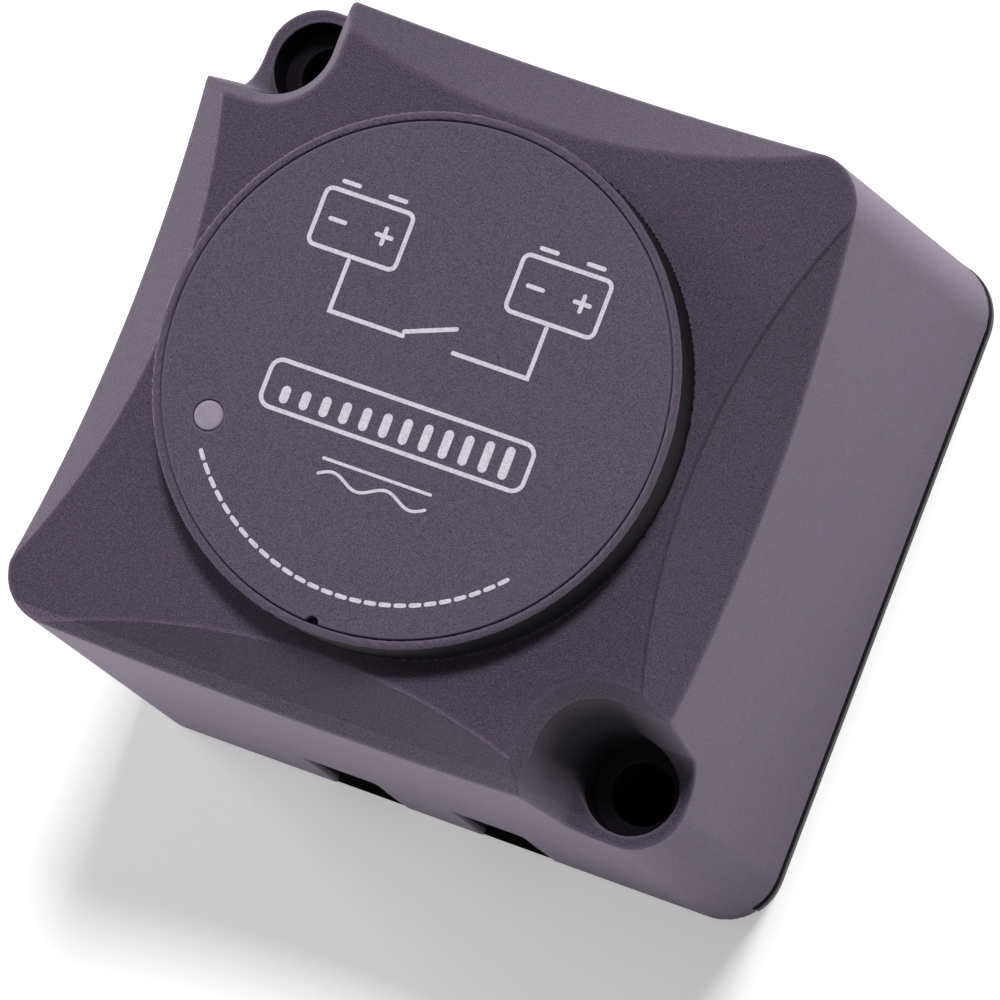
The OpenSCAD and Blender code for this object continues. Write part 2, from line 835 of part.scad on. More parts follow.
module carrier_rivet_spots() {
    for (side = [-1, 1]) {
        translate([side * rivet_x, armature_front_y + carrier_lap / 2, 0]) children();
    }
}

module contact_carrier() {
    carrier_front_y = -contact_y - bridge_w / 2;
    color("#d8c9a0") swung_open() difference() {
        union() {
            translate([-carrier_w / 2, carrier_front_y, carrier_under_z]) {
                cube([carrier_w, armature_front_y - carrier_front_y, carrier_top_z - carrier_under_z]);
            }
            translate([-carrier_w / 2, armature_front_y - over, armature_top_z]) {
                cube([carrier_w, carrier_lap + over, carrier_top_z - armature_top_z]);
            }
            translate([0, -contact_y, bridge_z - clip_t - clip_bite]) {
                cylinder(d = carrier_post_d, h = carrier_under_z - bridge_z + clip_t + clip_bite + over);
            }
        }
        carrier_rivet_spots() translate([0, 0, armature_z]) {
            cylinder(d = rivet_d, h = carrier_top_z - armature_z + over);
        }
    }
}

module carrier_rivets() {
    color("#c4c6c9") swung_open() carrier_rivet_spots() {
        translate([0, 0, armature_z]) cylinder(d = rivet_d, h = carrier_top_z - armature_z);
        translate([0, 0, carrier_top_z]) cylinder(d = rivet_head_d, h = rivet_head_t);
    }
}

module armature() {
    color("#8f9296") swung_open() difference() {
        union() {
            translate([-armature_w / 2, armature_front_y, armature_z]) {
                cube([armature_w, hinge_y - armature_front_y, armature_t]);
            }
            translate([-armature_w / 2, hinge_y, hinge_z]) rotate([0, 90, 0]) cylinder(r = knuckle_r, h = armature_w);
        }
        translate([-armature_w, hinge_y, hinge_z]) rotate([0, 90, 0]) {
            cylinder(d = hinge_pin_d + 2 * hinge_gap, h = 2 * armature_w);
        }
        carrier_rivet_spots() translate([0, 0, armature_z - over]) cylinder(d = rivet_d, h = armature_t + 2 * over);
    }
}

module hinge_pin() {
    color("#b9bcc0") translate([-hinge_pin_half, hinge_y, hinge_z]) rotate([0, 90, 0]) {
        cylinder(d = hinge_pin_d, h = 2 * hinge_pin_half);
    }
}

module yoke() {
    yoke_front_y = coil_y - flange_d / 2 + yoke_front_gap;
    yoke_back_y = hinge_y + yoke_t / 2;
    upright_top_z = hinge_z - knuckle_r - knuckle_gap;
    color("#8f9296") difference() {
        union() {
            translate([-yoke_half, yoke_front_y, yoke_z]) cube([2 * yoke_half, yoke_back_y - yoke_front_y, yoke_t]);
            translate([-yoke_half, yoke_back_y - yoke_t, yoke_z]) {
                cube([2 * yoke_half, yoke_t, upright_top_z - yoke_z]);
            }
            for (side = [-1, 1]) translate([side * (ear_in + ear_t / 2) - ear_t / 2, 0, 0]) {
                translate([0, yoke_back_y - yoke_t, yoke_z]) cube([ear_t, yoke_t, hinge_z - yoke_z]);
                translate([0, hinge_y, hinge_z]) rotate([0, 90, 0]) cylinder(r = knuckle_r, h = ear_t);
            }
        }
        translate([-yoke_half - over, hinge_y, hinge_z]) rotate([0, 90, 0]) {
            cylinder(d = hinge_pin_d + fit_gap, h = 2 * (yoke_half + over));
        }
        translate([0, coil_y, yoke_z - over]) cylinder(d = core_d, h = yoke_t + 2 * over);
        for (side = [-1, 1]) {
            translate([side * yoke_screw_x, yoke_screw_y, yoke_z - over]) cylinder(d = screw_d, h = yoke_t + 2 * over);
        }
    }
}

module core() {
    color("#8f9296") translate([0, coil_y, 0]) {
        translate([0, 0, yoke_z]) cylinder(d = core_d, h = bobbin_top_z - yoke_z);
        translate([0, 0, bobbin_top_z]) cylinder(d = pole_d, h = pole_t);
    }
}

module bobbin() {
    color("#23222a") translate([0, coil_y, bobbin_z]) difference() {
        union() {
            cylinder(r = former_r, h = bobbin_l);
            cylinder(d = flange_d, h = flange_t);
            translate([0, 0, bobbin_l - flange_t]) cylinder(d = flange_d, h = flange_t);
            for (side = [-1, 1]) translate([side * coil_pin_x, 0, bobbin_l - flange_t]) {
                cylinder(r = pin_tower_r, h = flange_t + pin_tower_h);
            }
        }
        translate([0, 0, -over]) cylinder(d = core_d + 2 * fit_gap, h = bobbin_l + 2 * over);
        for (side = [-1, 1]) translate([side * coil_pin_x, 0, bobbin_l - flange_t / 2]) {
            cylinder(d = coil_pin_d, h = flange_t + pin_tower_h + over);
        }
    }
}

module coil_winding() {
    color("#b0602f") translate([0, coil_y, bobbin_z + flange_t]) {
        tube(winding_d / 2, former_r, bobbin_l - 2 * flange_t);
    }
}

module coil_pins() {
    pin_z = bobbin_top_z - flange_t / 2;
    color("#dcdcde") for (side = [-1, 1]) {
        translate([side * coil_pin_x, coil_y, pin_z]) cylinder(d = coil_pin_d, h = board_top_z + pin_proud - pin_z);
    }
}

module return_spring() {
    color("#9a9da2") translate([0, spring_y, spring_seat_z]) {
        coil_spring(return_r, return_wire_d, return_turns, return_top_z - spring_seat_z);
    }
}

module relay_chassis() {
    bar_half = chassis_post_x + chassis_post_r;
    color("#5a5560") difference() {
        union() {
            translate([-chassis_half, -chassis_front, chassis_z]) {
                cube([2 * chassis_half, chassis_back_y + chassis_front, chassis_t]);
            }
            translate([-bar_half, chassis_bar_y - chassis_bar_w / 2, chassis_z]) {
                cube([2 * bar_half, chassis_bar_w, chassis_t]);
            }
            translate([0, spring_y, chassis_z]) cylinder(r = spring_post_r, h = spring_seat_z - chassis_z);
            translate([0, spring_y, spring_seat_z]) cylinder(r = spring_pin_r, h = spring_pin_h);
        }
        for (side = [-1, 1]) translate([side * yoke_screw_x, yoke_screw_y, chassis_z - over]) screw_well();
        each_chassis_post() translate([0, 0, chassis_z - over]) screw_well();
    }
}

// Clearance hole and head well of a chassis screw, from below
module screw_well() {
    cylinder(d = screw_d + 2 * screw_gap, h = chassis_t + 2 * over);
    cylinder(d = screw_head_d + 2 * screw_head_gap, h = screw_head_t + screw_head_gap + over);
}

module yoke_screws() {
    head_z = chassis_z + screw_head_t + screw_head_gap;
    color("#b9bcc0") for (side = [-1, 1]) translate([side * yoke_screw_x, yoke_screw_y, head_z]) {
        screw(screw_d, bobbin_z - fit_gap - head_z, screw_head_d, screw_head_t);
    }
}

module chassis_screws() {
    head_z = chassis_z + screw_head_t + screw_head_gap;
    color("#b9bcc0") each_chassis_post() translate([0, 0, head_z]) {
        screw(screw_d, chassis_screw_l, screw_head_d, screw_head_t);
    }
}

module circuit_board() {
    color("#2f5c3a") difference() {
        translate([0, 0, board_z]) linear_extrude(board_t) difference() {
            round_square(board_half, board_r);
            for (turn = mount_turns) {
                rotate(turn) translate([mount_at, mount_at]) corner_pillar(pillar_r + board_gap);
            }
        }
        each_board_stud() translate([0, 0, board_z - over]) {
            cylinder(d = board_screw_d + 2 * screw_gap, h = board_t + 2 * over);
        }
        for (side = [-1, 1]) {
            translate([side * coil_pin_x, coil_y, board_z - over]) {
                cylinder(d = coil_pin_d + 2 * fit_gap, h = board_t + 2 * over);
            }
            translate([side * sense_x, -sense_y, board_z - over]) {
                cylinder(d = sense_pin_d + 2 * fit_gap, h = board_t + 2 * over);
            }
        }
    }
}

module board_screws() {
    color("#b9bcc0") each_board_stud() translate([0, 0, board_z]) {
        screw(board_screw_d, board_screw_l, board_screw_head_d, board_screw_head_t);
    }
}

module sense_pins() {
    color("#dcdcde") for (side = [-1, 1]) {
        translate([side * sense_x, -sense_y, deck_z]) {
            cylinder(d = sense_pin_d, h = board_top_z + pin_proud - deck_z);
        }
    }
}

module indicator_led() {
    color("#d8e6d0") translate([-led_x, -led_y, board_top_z]) {
        cylinder(d = led_flange_d, h = led_flange_t);
        cylinder(d = led_d, h = led_h - led_d / 2);
        translate([0, 0, led_h - led_d / 2]) sphere(d = led_d);
    }
}

module controller_chip() {
    color("#1c1b1e") on_board(chip_share) {
        translate([-chip_size.x / 2, -chip_size.y / 2, lead_t]) {
            cube([chip_size.x, chip_size.y, chip_size.z - lead_t]);
        }
        for (i = [0:chip_leads - 1], side = [-1, 1]) {
            translate([(i - (chip_leads - 1) / 2) * chip_pitch, side * (chip_size.y + chip_lead.y) / 2, 0]) {
                translate([-chip_lead.x / 2, -chip_lead.y / 2 - side * fit_gap, 0]) {
                    cube([chip_lead.x, chip_lead.y, chip_lead.z + lead_t]);
                }
            }
        }
    }
}

module driver_transistor() {
    color("#1c1b1e") on_board(transistor_share) {
        translate([-transistor_size.x / 2, -transistor_size.y / 2, 0]) cube(transistor_size);
        translate([-transistor_tab.x / 2, transistor_size.y / 2 - fit_gap, 0]) cube(transistor_tab);
        for (side = [-1, 1]) {
            translate([side * transistor_pitch / 2 - transistor_lead_w / 2, -transistor_size.y, 0]) {
                cube([transistor_lead_w, transistor_size.y / 2 + fit_gap, transistor_tab.z]);
            }
        }
    }
}

module capacitors() {
    color("#23264a") for (share = capacitor_shares) on_board(share) {
        translate([0, 0, -board_t - capacitor_h]) {
            cylinder(d = capacitor_d, h = capacitor_h - capacitor_neck_t);
            for (side = [-1, 1]) translate([side * capacitor_pitch / 2, 0, 0]) {
                cylinder(d = capacitor_lead_d, h = capacitor_h);
            }
        }
    }
}

module resistors() {
    color("#28282c") on_board(resistor_share) for (i = [0:resistor_count - 1]) {
        translate([i * resistor_pitch - resistor_size.x / 2, -resistor_size.y / 2, 0]) cube(resistor_size);
    }
}

module diodes() {
    color("#1c1b1e") for (share = diode_shares) on_board(share) {
        translate([-diode_size.x / 2, -diode_size.y / 2, 0]) cube(diode_size);
        for (side = [-1, 1]) {
            translate([side * (diode_size.x + diode_lead.x) / 2 - diode_lead.x / 2 - side * fit_gap,
                -diode_lead.y / 2, 0]) cube(diode_lead);
        }
    }
}

housing();
label_disc();
led_window();
rear_cover();
rear_gasket();
lead_grommet();
stud_house();
stud_start();
stud_seals();
terminal_flat_washers();
terminal_spring_washers();
terminal_nuts();
bus_bar_house();
bus_bar_start();
fixed_tips();
moving_tips();
contact_bridge();
bridge_clip();
pressure_spring();
contact_carrier();
carrier_rivets();
armature();
hinge_pin();
yoke();
core();
bobbin();
coil_winding();
coil_pins();
return_spring();
relay_chassis();
yoke_screws();
chassis_screws();
circuit_board();
board_screws();
sense_pins();
indicator_led();
controller_chip();
driver_transistor();
capacitors();
resistors();
diodes();
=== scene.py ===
"""Looks of a battery isolator relay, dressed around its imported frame.

The moulded pieces are solids given by their signed distance, which a surface net turns
into meshes with true fillets. Threads, springs and the wound coil are swept meshes. Every
length in this file is in millimetres, and make_mesh turns them into metres.
"""
import json
import logging
import math
from dataclasses import dataclass, field
from enum import Enum
from typing import Callable, Iterable, Optional, Sequence, Union

import bpy
import numpy as np
from mathutils import Matrix, Vector


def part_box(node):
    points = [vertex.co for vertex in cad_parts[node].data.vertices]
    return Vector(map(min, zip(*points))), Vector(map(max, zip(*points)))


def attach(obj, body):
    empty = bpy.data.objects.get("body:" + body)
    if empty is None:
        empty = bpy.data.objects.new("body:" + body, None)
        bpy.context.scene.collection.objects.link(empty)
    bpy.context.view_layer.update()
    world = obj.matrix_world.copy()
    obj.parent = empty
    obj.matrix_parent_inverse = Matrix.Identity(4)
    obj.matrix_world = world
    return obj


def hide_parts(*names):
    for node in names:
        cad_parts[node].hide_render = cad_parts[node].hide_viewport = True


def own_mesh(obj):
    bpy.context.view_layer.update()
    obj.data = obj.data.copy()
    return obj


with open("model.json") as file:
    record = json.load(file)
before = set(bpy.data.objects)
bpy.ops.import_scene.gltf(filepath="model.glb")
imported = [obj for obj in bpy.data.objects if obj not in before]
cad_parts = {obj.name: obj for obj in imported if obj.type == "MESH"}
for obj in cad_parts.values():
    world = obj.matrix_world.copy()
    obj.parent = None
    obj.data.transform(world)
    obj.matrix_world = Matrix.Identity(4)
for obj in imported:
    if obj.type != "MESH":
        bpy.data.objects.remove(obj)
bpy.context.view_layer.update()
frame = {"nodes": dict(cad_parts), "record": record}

MM = 0.001
DIAGONAL = math.sqrt(0.5)
log = logging.getLogger("relay")

Array = np.ndarray
Distance = Callable[["Points"], Array]
Profile = Callable[[Array], tuple[Array, Array]]
Spot = tuple[float, float]
Place = tuple[float, float, float]
Colour = tuple[float, float, float]


@dataclass(frozen=True)
class Points:
    """Places where a solid is measured, as three arrays that broadcast together."""

    x: Array
    y: Array
    z: Array

    def moved(self, dx: float, dy: float, dz: float = 0.0) -> "Points":
        """The same places seen from an origin at (dx, dy, dz)."""
        return Points(self.x - dx, self.y - dy, self.z - dz)

    def turned(self, quarters: int) -> "Points":
        """The same places seen from a frame that is turned about z by quarter turns."""
        x, y = self.x, self.y
        for _ in range(quarters % 4):
            x, y = y, -x
        return Points(x, y, self.z)


class Solid:
    """A solid given by its signed distance, which is negative inside.

    The operators |, & and - join, meet and cut with sharp edges. The methods joined, met
    and cut do the same with a fillet of about the given size.
    """

    def __init__(self, distance: Distance) -> None:
        """Keeps the function that measures the distance.

        Args:
            distance: gives the signed distance at some points.
        """
        self.distance = distance

    def __call__(self, at: Points) -> Array:
        """The signed distance at those points."""
        return self.distance(at)

    def __or__(self, other: "Solid") -> "Solid":
        """Both solids."""
        return Solid(lambda p: np.minimum(self(p), other(p)))

    def __and__(self, other: "Solid") -> "Solid":
        """What the solids share."""
        return Solid(lambda p: np.maximum(self(p), other(p)))

    def __neg__(self) -> "Solid":
        """All that is outside this solid."""
        return Solid(lambda p: -self(p))

    def __sub__(self, other: "Solid") -> "Solid":
        """This solid without the other."""
        return self & -other

    def met(self, other: "Solid", fillet: float) -> "Solid":
        """What the solids share, with its new edges rounded."""
        return Solid(lambda p: round_max(self(p), other(p), fillet))

    def joined(self, other: "Solid", fillet: float) -> "Solid":
        """Both solids, with a fillet where they join."""
        return Solid(lambda p: -round_max(-self(p), -other(p), fillet))

    def cut(self, other: "Solid", fillet: float) -> "Solid":
        """This solid without the other, with the edges of the cut rounded."""
        return self.met(-other, fillet)

    def at(self, x: float, y: float, z: float = 0.0) -> "Solid":
        """The solid moved to that place."""
        return Solid(lambda p: self(p.moved(x, y, z)))

    def turned(self, quarters: int) -> "Solid":
        """The solid turned about z by quarter turns."""
        return Solid(lambda p: self(p.turned(quarters)))


def round_max(a: Array, b: Array, fillet: float) -> Array:
    """The larger of two distances, blended near where they are equal.

    Args:
        a: one distance.
        b: the other distance.
        fillet: width of the blend.

    Returns:
        The blended distance.
    """
    share = np.maximum(fillet - np.abs(a - b), 0.0)
    return np.maximum(a, b) + share * share * (0.25 / fillet)


def every(solids: Iterable[Solid]) -> Solid:
    """All of the solids joined.

    Args:
        solids: the solids.

    Returns:
        Their union.
    """
    several = list(solids)
    return Solid(lambda p: np.minimum.reduce([one(p) for one in several]))


def plane(nx: float, ny: float, nz: float, far: float) -> Solid:
    """The half space below a plane.

    Args:
        nx: the plane's unit normal along x.
        ny: the same along y.
        nz: the same along z.
        far: distance of the plane from the origin along its normal.

    Returns:
        The half space.
    """
    return Solid(lambda p: nx * p.x + ny * p.y + nz * p.z - far)


def slab(low: float, high: float) -> Solid:
    """All that lies between two heights."""
    return Solid(lambda p: np.maximum(low - p.z, p.z - high))


def pillar(r: float) -> Solid:
    """An endless upright cylinder of radius r."""
    return Solid(lambda p: np.hypot(p.x, p.y) - r)


def disc(r: float, low: float, high: float, fillet: float = 0.0) -> Solid:
    """An upright cylinder between two heights.

    Args:
        r: its radius.
        low: height of its foot.
        high: height of its top.
        fillet: rounding of its two edges, or nothing for sharp ones.

    Returns:
        The cylinder.
    """
    if fillet:
        return pillar(r).met(slab(low, high), fillet)
    return pillar(r) & slab(low, high)


def block(x: tuple[float, float], y: tuple[float, float], z: tuple[float, float]) -> Solid:
    """A box.

    Args:
        x: its lowest and highest x.
        y: its lowest and highest y.
        z: its lowest and highest z.

    Returns:
        The box.
    """
    def distance(p: Points) -> Array:
        """Distance of the box, by its nearest pair of faces."""
        sides = [np.maximum(low - v, v - high) for v, (low, high) in ((p.x, x), (p.y, y), (p.z, z))]
        return np.maximum(np.maximum(sides[0], sides[1]), sides[2])
    return Solid(distance)


def round_square(levels: Sequence[tuple[float, float, float]]) -> Solid:
    """An endless upright square with round corners whose width changes with height.

    Args:
        levels: height, half width and corner radius, from the lowest to the highest.

    Returns:
        The solid.
    """
    heights, halves, radii = (np.array(column, float) for column in zip(*levels))

    def distance(p: Points) -> Array:
        """Distance of the rounded square at each height."""
        r = np.interp(p.z, heights, radii).astype(p.z.dtype)
        half = np.interp(p.z, heights, halves).astype(p.z.dtype) - r
        across, along = np.abs(p.x) - half, np.abs(p.y) - half
        outside = np.hypot(np.maximum(across, 0.0), np.maximum(along, 0.0))
        return outside + np.minimum(np.maximum(across, along), 0.0) - r
    return Solid(distance)


@dataclass(frozen=True)
class Net:
    """Turns a solid into a triangle mesh: a surface net on a grid, then onto the surface.

    The grid starts an uneven number of steps below the box, so that no flat face lies on it.
    """

    step: float = 0.35
    steps_below: float = 1.37
    steps_above: float = 2.0
    probe: float = 0.02
    least_slope: float = 1e-6
    settles: int = 3
    max_move: float = 0.3

    def points(self, places: Array) -> Points:
        """The rows of an array of places, as Points."""
        return Points(places[:, 0], places[:, 1], places[:, 2])

    def grid(self, solid: Solid, low: Array, high: Array) -> Array:
        """Measures the solid on the grid.

        Args:
            solid: the solid.
            low: lowest corner of its box.
            high: highest corner of its box.

        Returns:
            The distances, as an array of three dimensions.
        """
        axes = [np.arange(a, b + self.step, self.step, dtype=np.float32) for a, b in zip(low, high)]
        x, y, z = np.meshgrid(*axes, indexing="ij", sparse=True)
        shape = tuple(len(axis) for axis in axes)
        return np.broadcast_to(solid(Points(x, y, z)), shape)

    def corners(self, values: Array) -> tuple[Array, Array, Array]:
        """Places one vertex in each cell that the surface crosses.

        Args:
            values: the distances on the grid.

        Returns:
            The vertices in steps, the cells' numbers, and which grid points are inside.
        """
        inside = values < 0
        cells = tuple(n - 1 for n in values.shape)
        offsets = [(i, j, k) for i in (0, 1) for j in (0, 1) for k in (0, 1)]
        count = np.zeros(cells, np.uint8)
        for i, j, k in offsets:
            count += inside[i:cells[0] + i, j:cells[1] + j, k:cells[2] + k]
        active = (count > 0) & (count < len(offsets))
        number = np.full(cells, -1, np.int32)
        where = np.argwhere(active)
        number[active] = np.arange(len(where), dtype=np.int32)
        at = {o: values[where[:, 0] + o[0], where[:, 1] + o[1], where[:, 2] + o[2]] for o in offsets}
        total, hits = np.zeros((len(where), 3)), np.zeros(len(where))
        for a in offsets:
            for axis in range(3):
                if a[axis]:
                    continue
                b = tuple(1 if n == axis else v for n, v in enumerate(a))
                crossed = (at[a] < 0) != (at[b] < 0)
                span = np.where(crossed, at[a] - at[b], 1.0)
                share = np.where(crossed, at[a] / span, 0.0)
                place = np.tile(np.array(a, float), (len(where), 1))
                place[:, axis] = share
                total += place * crossed[:, None]
                hits += crossed
        return where + total / hits[:, None], number, inside

    def quads(self, number: Array, inside: Array) -> Array:
        """Joins the vertices of the four cells around each grid edge that is crossed.

        Args:
            number: the vertex of each cell.
            inside: which grid points are inside.

        Returns:
            The quads, wound so that their normals point out.
        """
        found = []
        for axis in range(3):
            near, far = [slice(1, -1)] * 3, [slice(1, -1)] * 3
            near[axis], far[axis] = slice(0, -1), slice(1, None)
            a, b = inside[tuple(near)], inside[tuple(far)]
            spots = np.argwhere(a != b)
            outward = a[tuple(spots.T)]
            spots = spots + [0 if n == axis else 1 for n in range(3)]
            u, v = (axis + 1) % 3, (axis + 2) % 3
            ring = []
            for du, dv in ((1, 1), (0, 1), (0, 0), (1, 0)):
                cell = spots.copy()
                cell[:, u] -= du
                cell[:, v] -= dv
                ring.append(number[tuple(cell.T)])
            quad = np.stack(ring, 1)
            found.append(np.where(outward[:, None], quad, quad[:, ::-1]))
        return np.concatenate(found)

    def gradient(self, solid: Solid, places: Array) -> tuple[Array, Array]:
        """Measures the solid and its slope.

        Args:
            solid: the solid.
            places: where.

        Returns:
            The distance and the unit normal at each place.
        """
        slopes = []
        for axis in range(3):
            ahead, behind = places.copy(), places.copy()
            ahead[:, axis] += self.probe
            behind[:, axis] -= self.probe
            slopes.append((solid(self.points(ahead)) - solid(self.points(behind))) / (2 * self.probe))
        slope = np.stack(slopes, 1)
        length = np.maximum(np.linalg.norm(slope, axis=1), self.least_slope)
        return solid(self.points(places)) / length, slope / length[:, None]

    def settled(self, solid: Solid, places: Array) -> Array:
        """Moves places onto the solid's surface.

        Args:
            solid: the solid.
            places: places near its surface.

        Returns:
            The moved places.
        """
        for _ in range(self.settles):
            distance, normal = self.gradient(solid, places)
            places = places - np.clip(distance, -self.max_move, self.max_move)[:, None] * normal
        return places

    def bend(self, solid: Solid, places: Array, reach: float) -> Array:
        """Tells how convex the surface is, positive on outer edges and negative in hollows.

        Args:
            solid: the solid.
            places: places on its surface.
            reach: how far around each place to look.

        Returns:
            The bend at each place.
        """
        total = -6.0 * solid(self.points(places))
        for axis in range(3):
            for way in (-reach, reach):
                near = places.copy()
                near[:, axis] += way
                total = total + solid(self.points(near))
        return total / reach


def make_mesh(name: str, places: Array, faces: Array) -> bpy.types.Object:
    """Makes a mesh object at the origin.

    Args:
        name: its name.
        places: its vertices in millimetres.
        faces: its faces, as rows of three or four vertices.

    Returns:
        The object.
    """
    mesh = bpy.data.meshes.new(name)
    corners = faces.shape[1]
    mesh.vertices.add(len(places))
    mesh.vertices.foreach_set("co", (places * MM).astype(np.float32).ravel())
    mesh.loops.add(faces.size)
    mesh.loops.foreach_set("vertex_index", faces.astype(np.int32).ravel())
    mesh.polygons.add(len(faces))
    mesh.polygons.foreach_set("loop_start", np.arange(0, faces.size, corners, dtype=np.int32))
    mesh.update(calc_edges=True)
    mesh.validate()
    made = bpy.data.objects.new(name, mesh)
    bpy.context.scene.collection.objects.link(made)
    return made


def mesh_places(obj: bpy.types.Object) -> Array:
    """The vertices of a mesh object in millimetres."""
    co = np.zeros(len(obj.data.vertices) * 3, np.float32)
    obj.data.vertices.foreach_get("co", co)
    return co.reshape(-1, 3).astype(float) / MM


def mark(obj: bpy.types.Object, name: str, values: Array) -> None:
    """Stores one number for each vertex, for a material to read.

    Args:
        obj: the mesh object.
        name: the attribute's name.
        values: the numbers.
    """
    attribute = obj.data.attributes.new(name, "FLOAT", "POINT")
    attribute.data.foreach_set("value", values.astype(np.float32))


def smooth_shade(obj: bpy.types.Object) -> None:
    """Shades every face of the mesh smoothly."""
    obj.data.polygons.foreach_set("use_smooth", np.ones(len(obj.data.polygons), bool))


@dataclass(frozen=True)
class Moulding:
    """How finely a moulded solid becomes a mesh."""

    net: Net = Net()
    keep: float = 0.3
    lean_in: float = 0.3
    edge_reach: float = 0.35

    def mesh(self, name: str, solid: Solid, low: Place, high: Place) -> bpy.types.Object:
        """Builds the mesh, with true normals and an attribute named edge.

        Args:
            name: the object's name.
            solid: the solid.
            low: lowest corner of its box.
            high: highest corner of its box.

        Returns:
            The mesh object.
        """
        net = self.net
        start = np.array(low) - net.step * net.steps_below
        end = np.array(high) + net.step * net.steps_above
        places, number, inside = net.corners(net.grid(solid, start, end))
        made = make_mesh(name, net.settled(solid, start + places * net.step),
                         net.quads(number, inside))
        thin = made.modifiers.new("thin", "DECIMATE")
        thin.ratio = self.keep
        thin.use_collapse_triangulate = True
        graph = bpy.context.evaluated_depsgraph_get()
        slim = bpy.data.meshes.new_from_object(made.evaluated_get(graph))
        made.modifiers.clear()
        full, made.data = made.data, slim
        bpy.data.meshes.remove(full)
        slim.name = name
        places = net.settled(solid, mesh_places(made))
        slim.vertices.foreach_set("co", (places * MM).astype(np.float32).ravel())
        self.shade(made, solid, places)
        return made

    def shade(self, made: bpy.types.Object, solid: Solid, places: Array) -> None:
        """Sets the normals from the solid itself, and the attribute that marks edges.

        Args:
            made: the mesh object.
            solid: its solid.
            places: its vertices in millimetres.
        """
        mesh = made.data
        smooth_shade(made)
        corner = np.zeros(len(mesh.loops), np.int32)
        mesh.loops.foreach_get("vertex_index", corner)
        triangles = places[corner].reshape(-1, 3, 3)
        middle = triangles.mean(1, keepdims=True)
        probes = (triangles + self.lean_in * (middle - triangles)).reshape(-1, 3)
        normals = self.net.gradient(solid, probes)[1]
        mesh.normals_split_custom_set(normals.astype(np.float32))
        mark(made, "edge", self.net.bend(solid, places, self.edge_reach))


@dataclass(frozen=True)
class Sweep:
    """Meshes that follow a line or turn about an axis."""

    sides: int = 96
    sharp_angle: float = 0.7

    def around(self, profile: Profile, centre: Spot) -> Array:
        """The rings of places that a profile passes through about an upright axis.

        Args:
            profile: gives radius and height at each share round the axis, one row each.
            centre: x and y of the axis.

        Returns:
            The places, by row and side.
        """
        share = np.arange(self.sides) / self.sides
        r, z = profile(share)
        angle = 2 * np.pi * share
        return np.stack([centre[0] + r * np.cos(angle), centre[1] + r * np.sin(angle), z], 2)

    def wall(self, rows: int, closed: bool = False) -> list[Array]:
        """The triangles between each ring and the next.

        Args:
            rows: how many rings there are.
            closed: whether the last ring meets the first.

        Returns:
            The triangles, in groups.
        """
        a = np.arange(self.sides)
        b = (a + 1) % self.sides
        found = []
        for i in range(rows if closed else rows - 1):
            low, high = i * self.sides, (i + 1) % rows * self.sides
            found.append(np.stack([low + a, low + b, high + b], 1))
            found.append(np.stack([low + a, high + b, high + a], 1))
        return found

    def capped(self, name: str, rings: Array, ends: Array) -> bpy.types.Object:
        """A body whose first and last rings are closed towards their middles.

        Args:
            name: the object's name.
            rings: its places, by row and side.
            ends: the middle of the first ring and of the last.

        Returns:
            The mesh object.
        """
        a = np.arange(self.sides)
        b = (a + 1) % self.sides
        foot = len(rings) * self.sides
        last = foot - self.sides
        caps = [np.stack([np.full_like(a, foot), b, a], 1),
                np.stack([np.full_like(a, foot + 1), last + a, last + b], 1)]
        places = np.concatenate([rings.reshape(-1, 3), ends])
        made = make_mesh(name, places, np.concatenate(self.wall(len(rings)) + caps))
        smooth_shade(made)
        return made

    def turned(self, name: str, profile: Profile, centre: Spot) -> bpy.types.Object:
        """A closed body about an upright axis, whose profile may change round the axis.

        Args:
            name: the object's name.
            profile: gives radius and height at each share round the axis, one row each.
            centre: x and y of the axis.

        Returns:
            The mesh object.
        """
        rings = self.around(profile, centre)
        ends = np.array([[*centre, ring[:, 2].mean()] for ring in (rings[0], rings[-1])])
        made = self.capped(name, rings, ends)
        made.data.set_sharp_from_angle(angle=self.sharp_angle)
        return made

    def ring(self, name: str, profile: Profile, centre: Spot) -> bpy.types.Object:
        """A closed ring about an upright axis, whose last row meets its first.

        Args:
            name: the object's name.
            profile: gives radius and height at each share round the axis, one row each.
            centre: x and y of the axis.

        Returns:
            The mesh object.
        """
        rings = self.around(profile, centre)
        faces = np.concatenate(self.wall(len(rings), closed=True))
        made = make_mesh(name, rings.reshape(-1, 3), faces)
        smooth_shade(made)
        return made

    def tube(self, name: str, line: Array, r: float) -> bpy.types.Object:
        """A round wire along a line.

        Args:
            name: the object's name.
            line: the points of its middle.
            r: the wire's radius.

        Returns:
            The mesh object.
        """
        ahead = np.gradient(line, axis=0)
        ahead /= np.linalg.norm(ahead, axis=1, keepdims=True)
        out = np.cross(ahead, np.array([0.0, 0.0, 1.0]))
        out /= np.linalg.norm(out, axis=1, keepdims=True)
        over = np.cross(out, ahead)
        angle = 2 * np.pi * np.arange(self.sides) / self.sides
        rings = line[:, None] + r * (np.cos(angle)[None, :, None] * out[:, None]
                                     + np.sin(angle)[None, :, None] * over[:, None])
        return self.capped(name, rings, line[[0, -1]])


def all_round(values: Sequence[float], share: Array) -> Array:
    """Rows of a profile that stay the same all round the axis.

    Args:
        values: the value of each row.
        share: how far round the axis.

    Returns:
        The rows.
    """
    return np.tile(np.array(values)[:, None], (1, len(share)))


class Axis(Enum):
    """Direction of the fine lines that a tool or a roll leaves on metal.

    Each value says how much the noise of the lines is squeezed along x, y and z.
    """

    ROUND = (0.15, 0.15, 1.0)
    ALONG_X = (0.03, 1.0, 1.0)
    ALONG_Y = (1.0, 0.03, 1.0)
    NONE = (1.0, 1.0, 1.0)


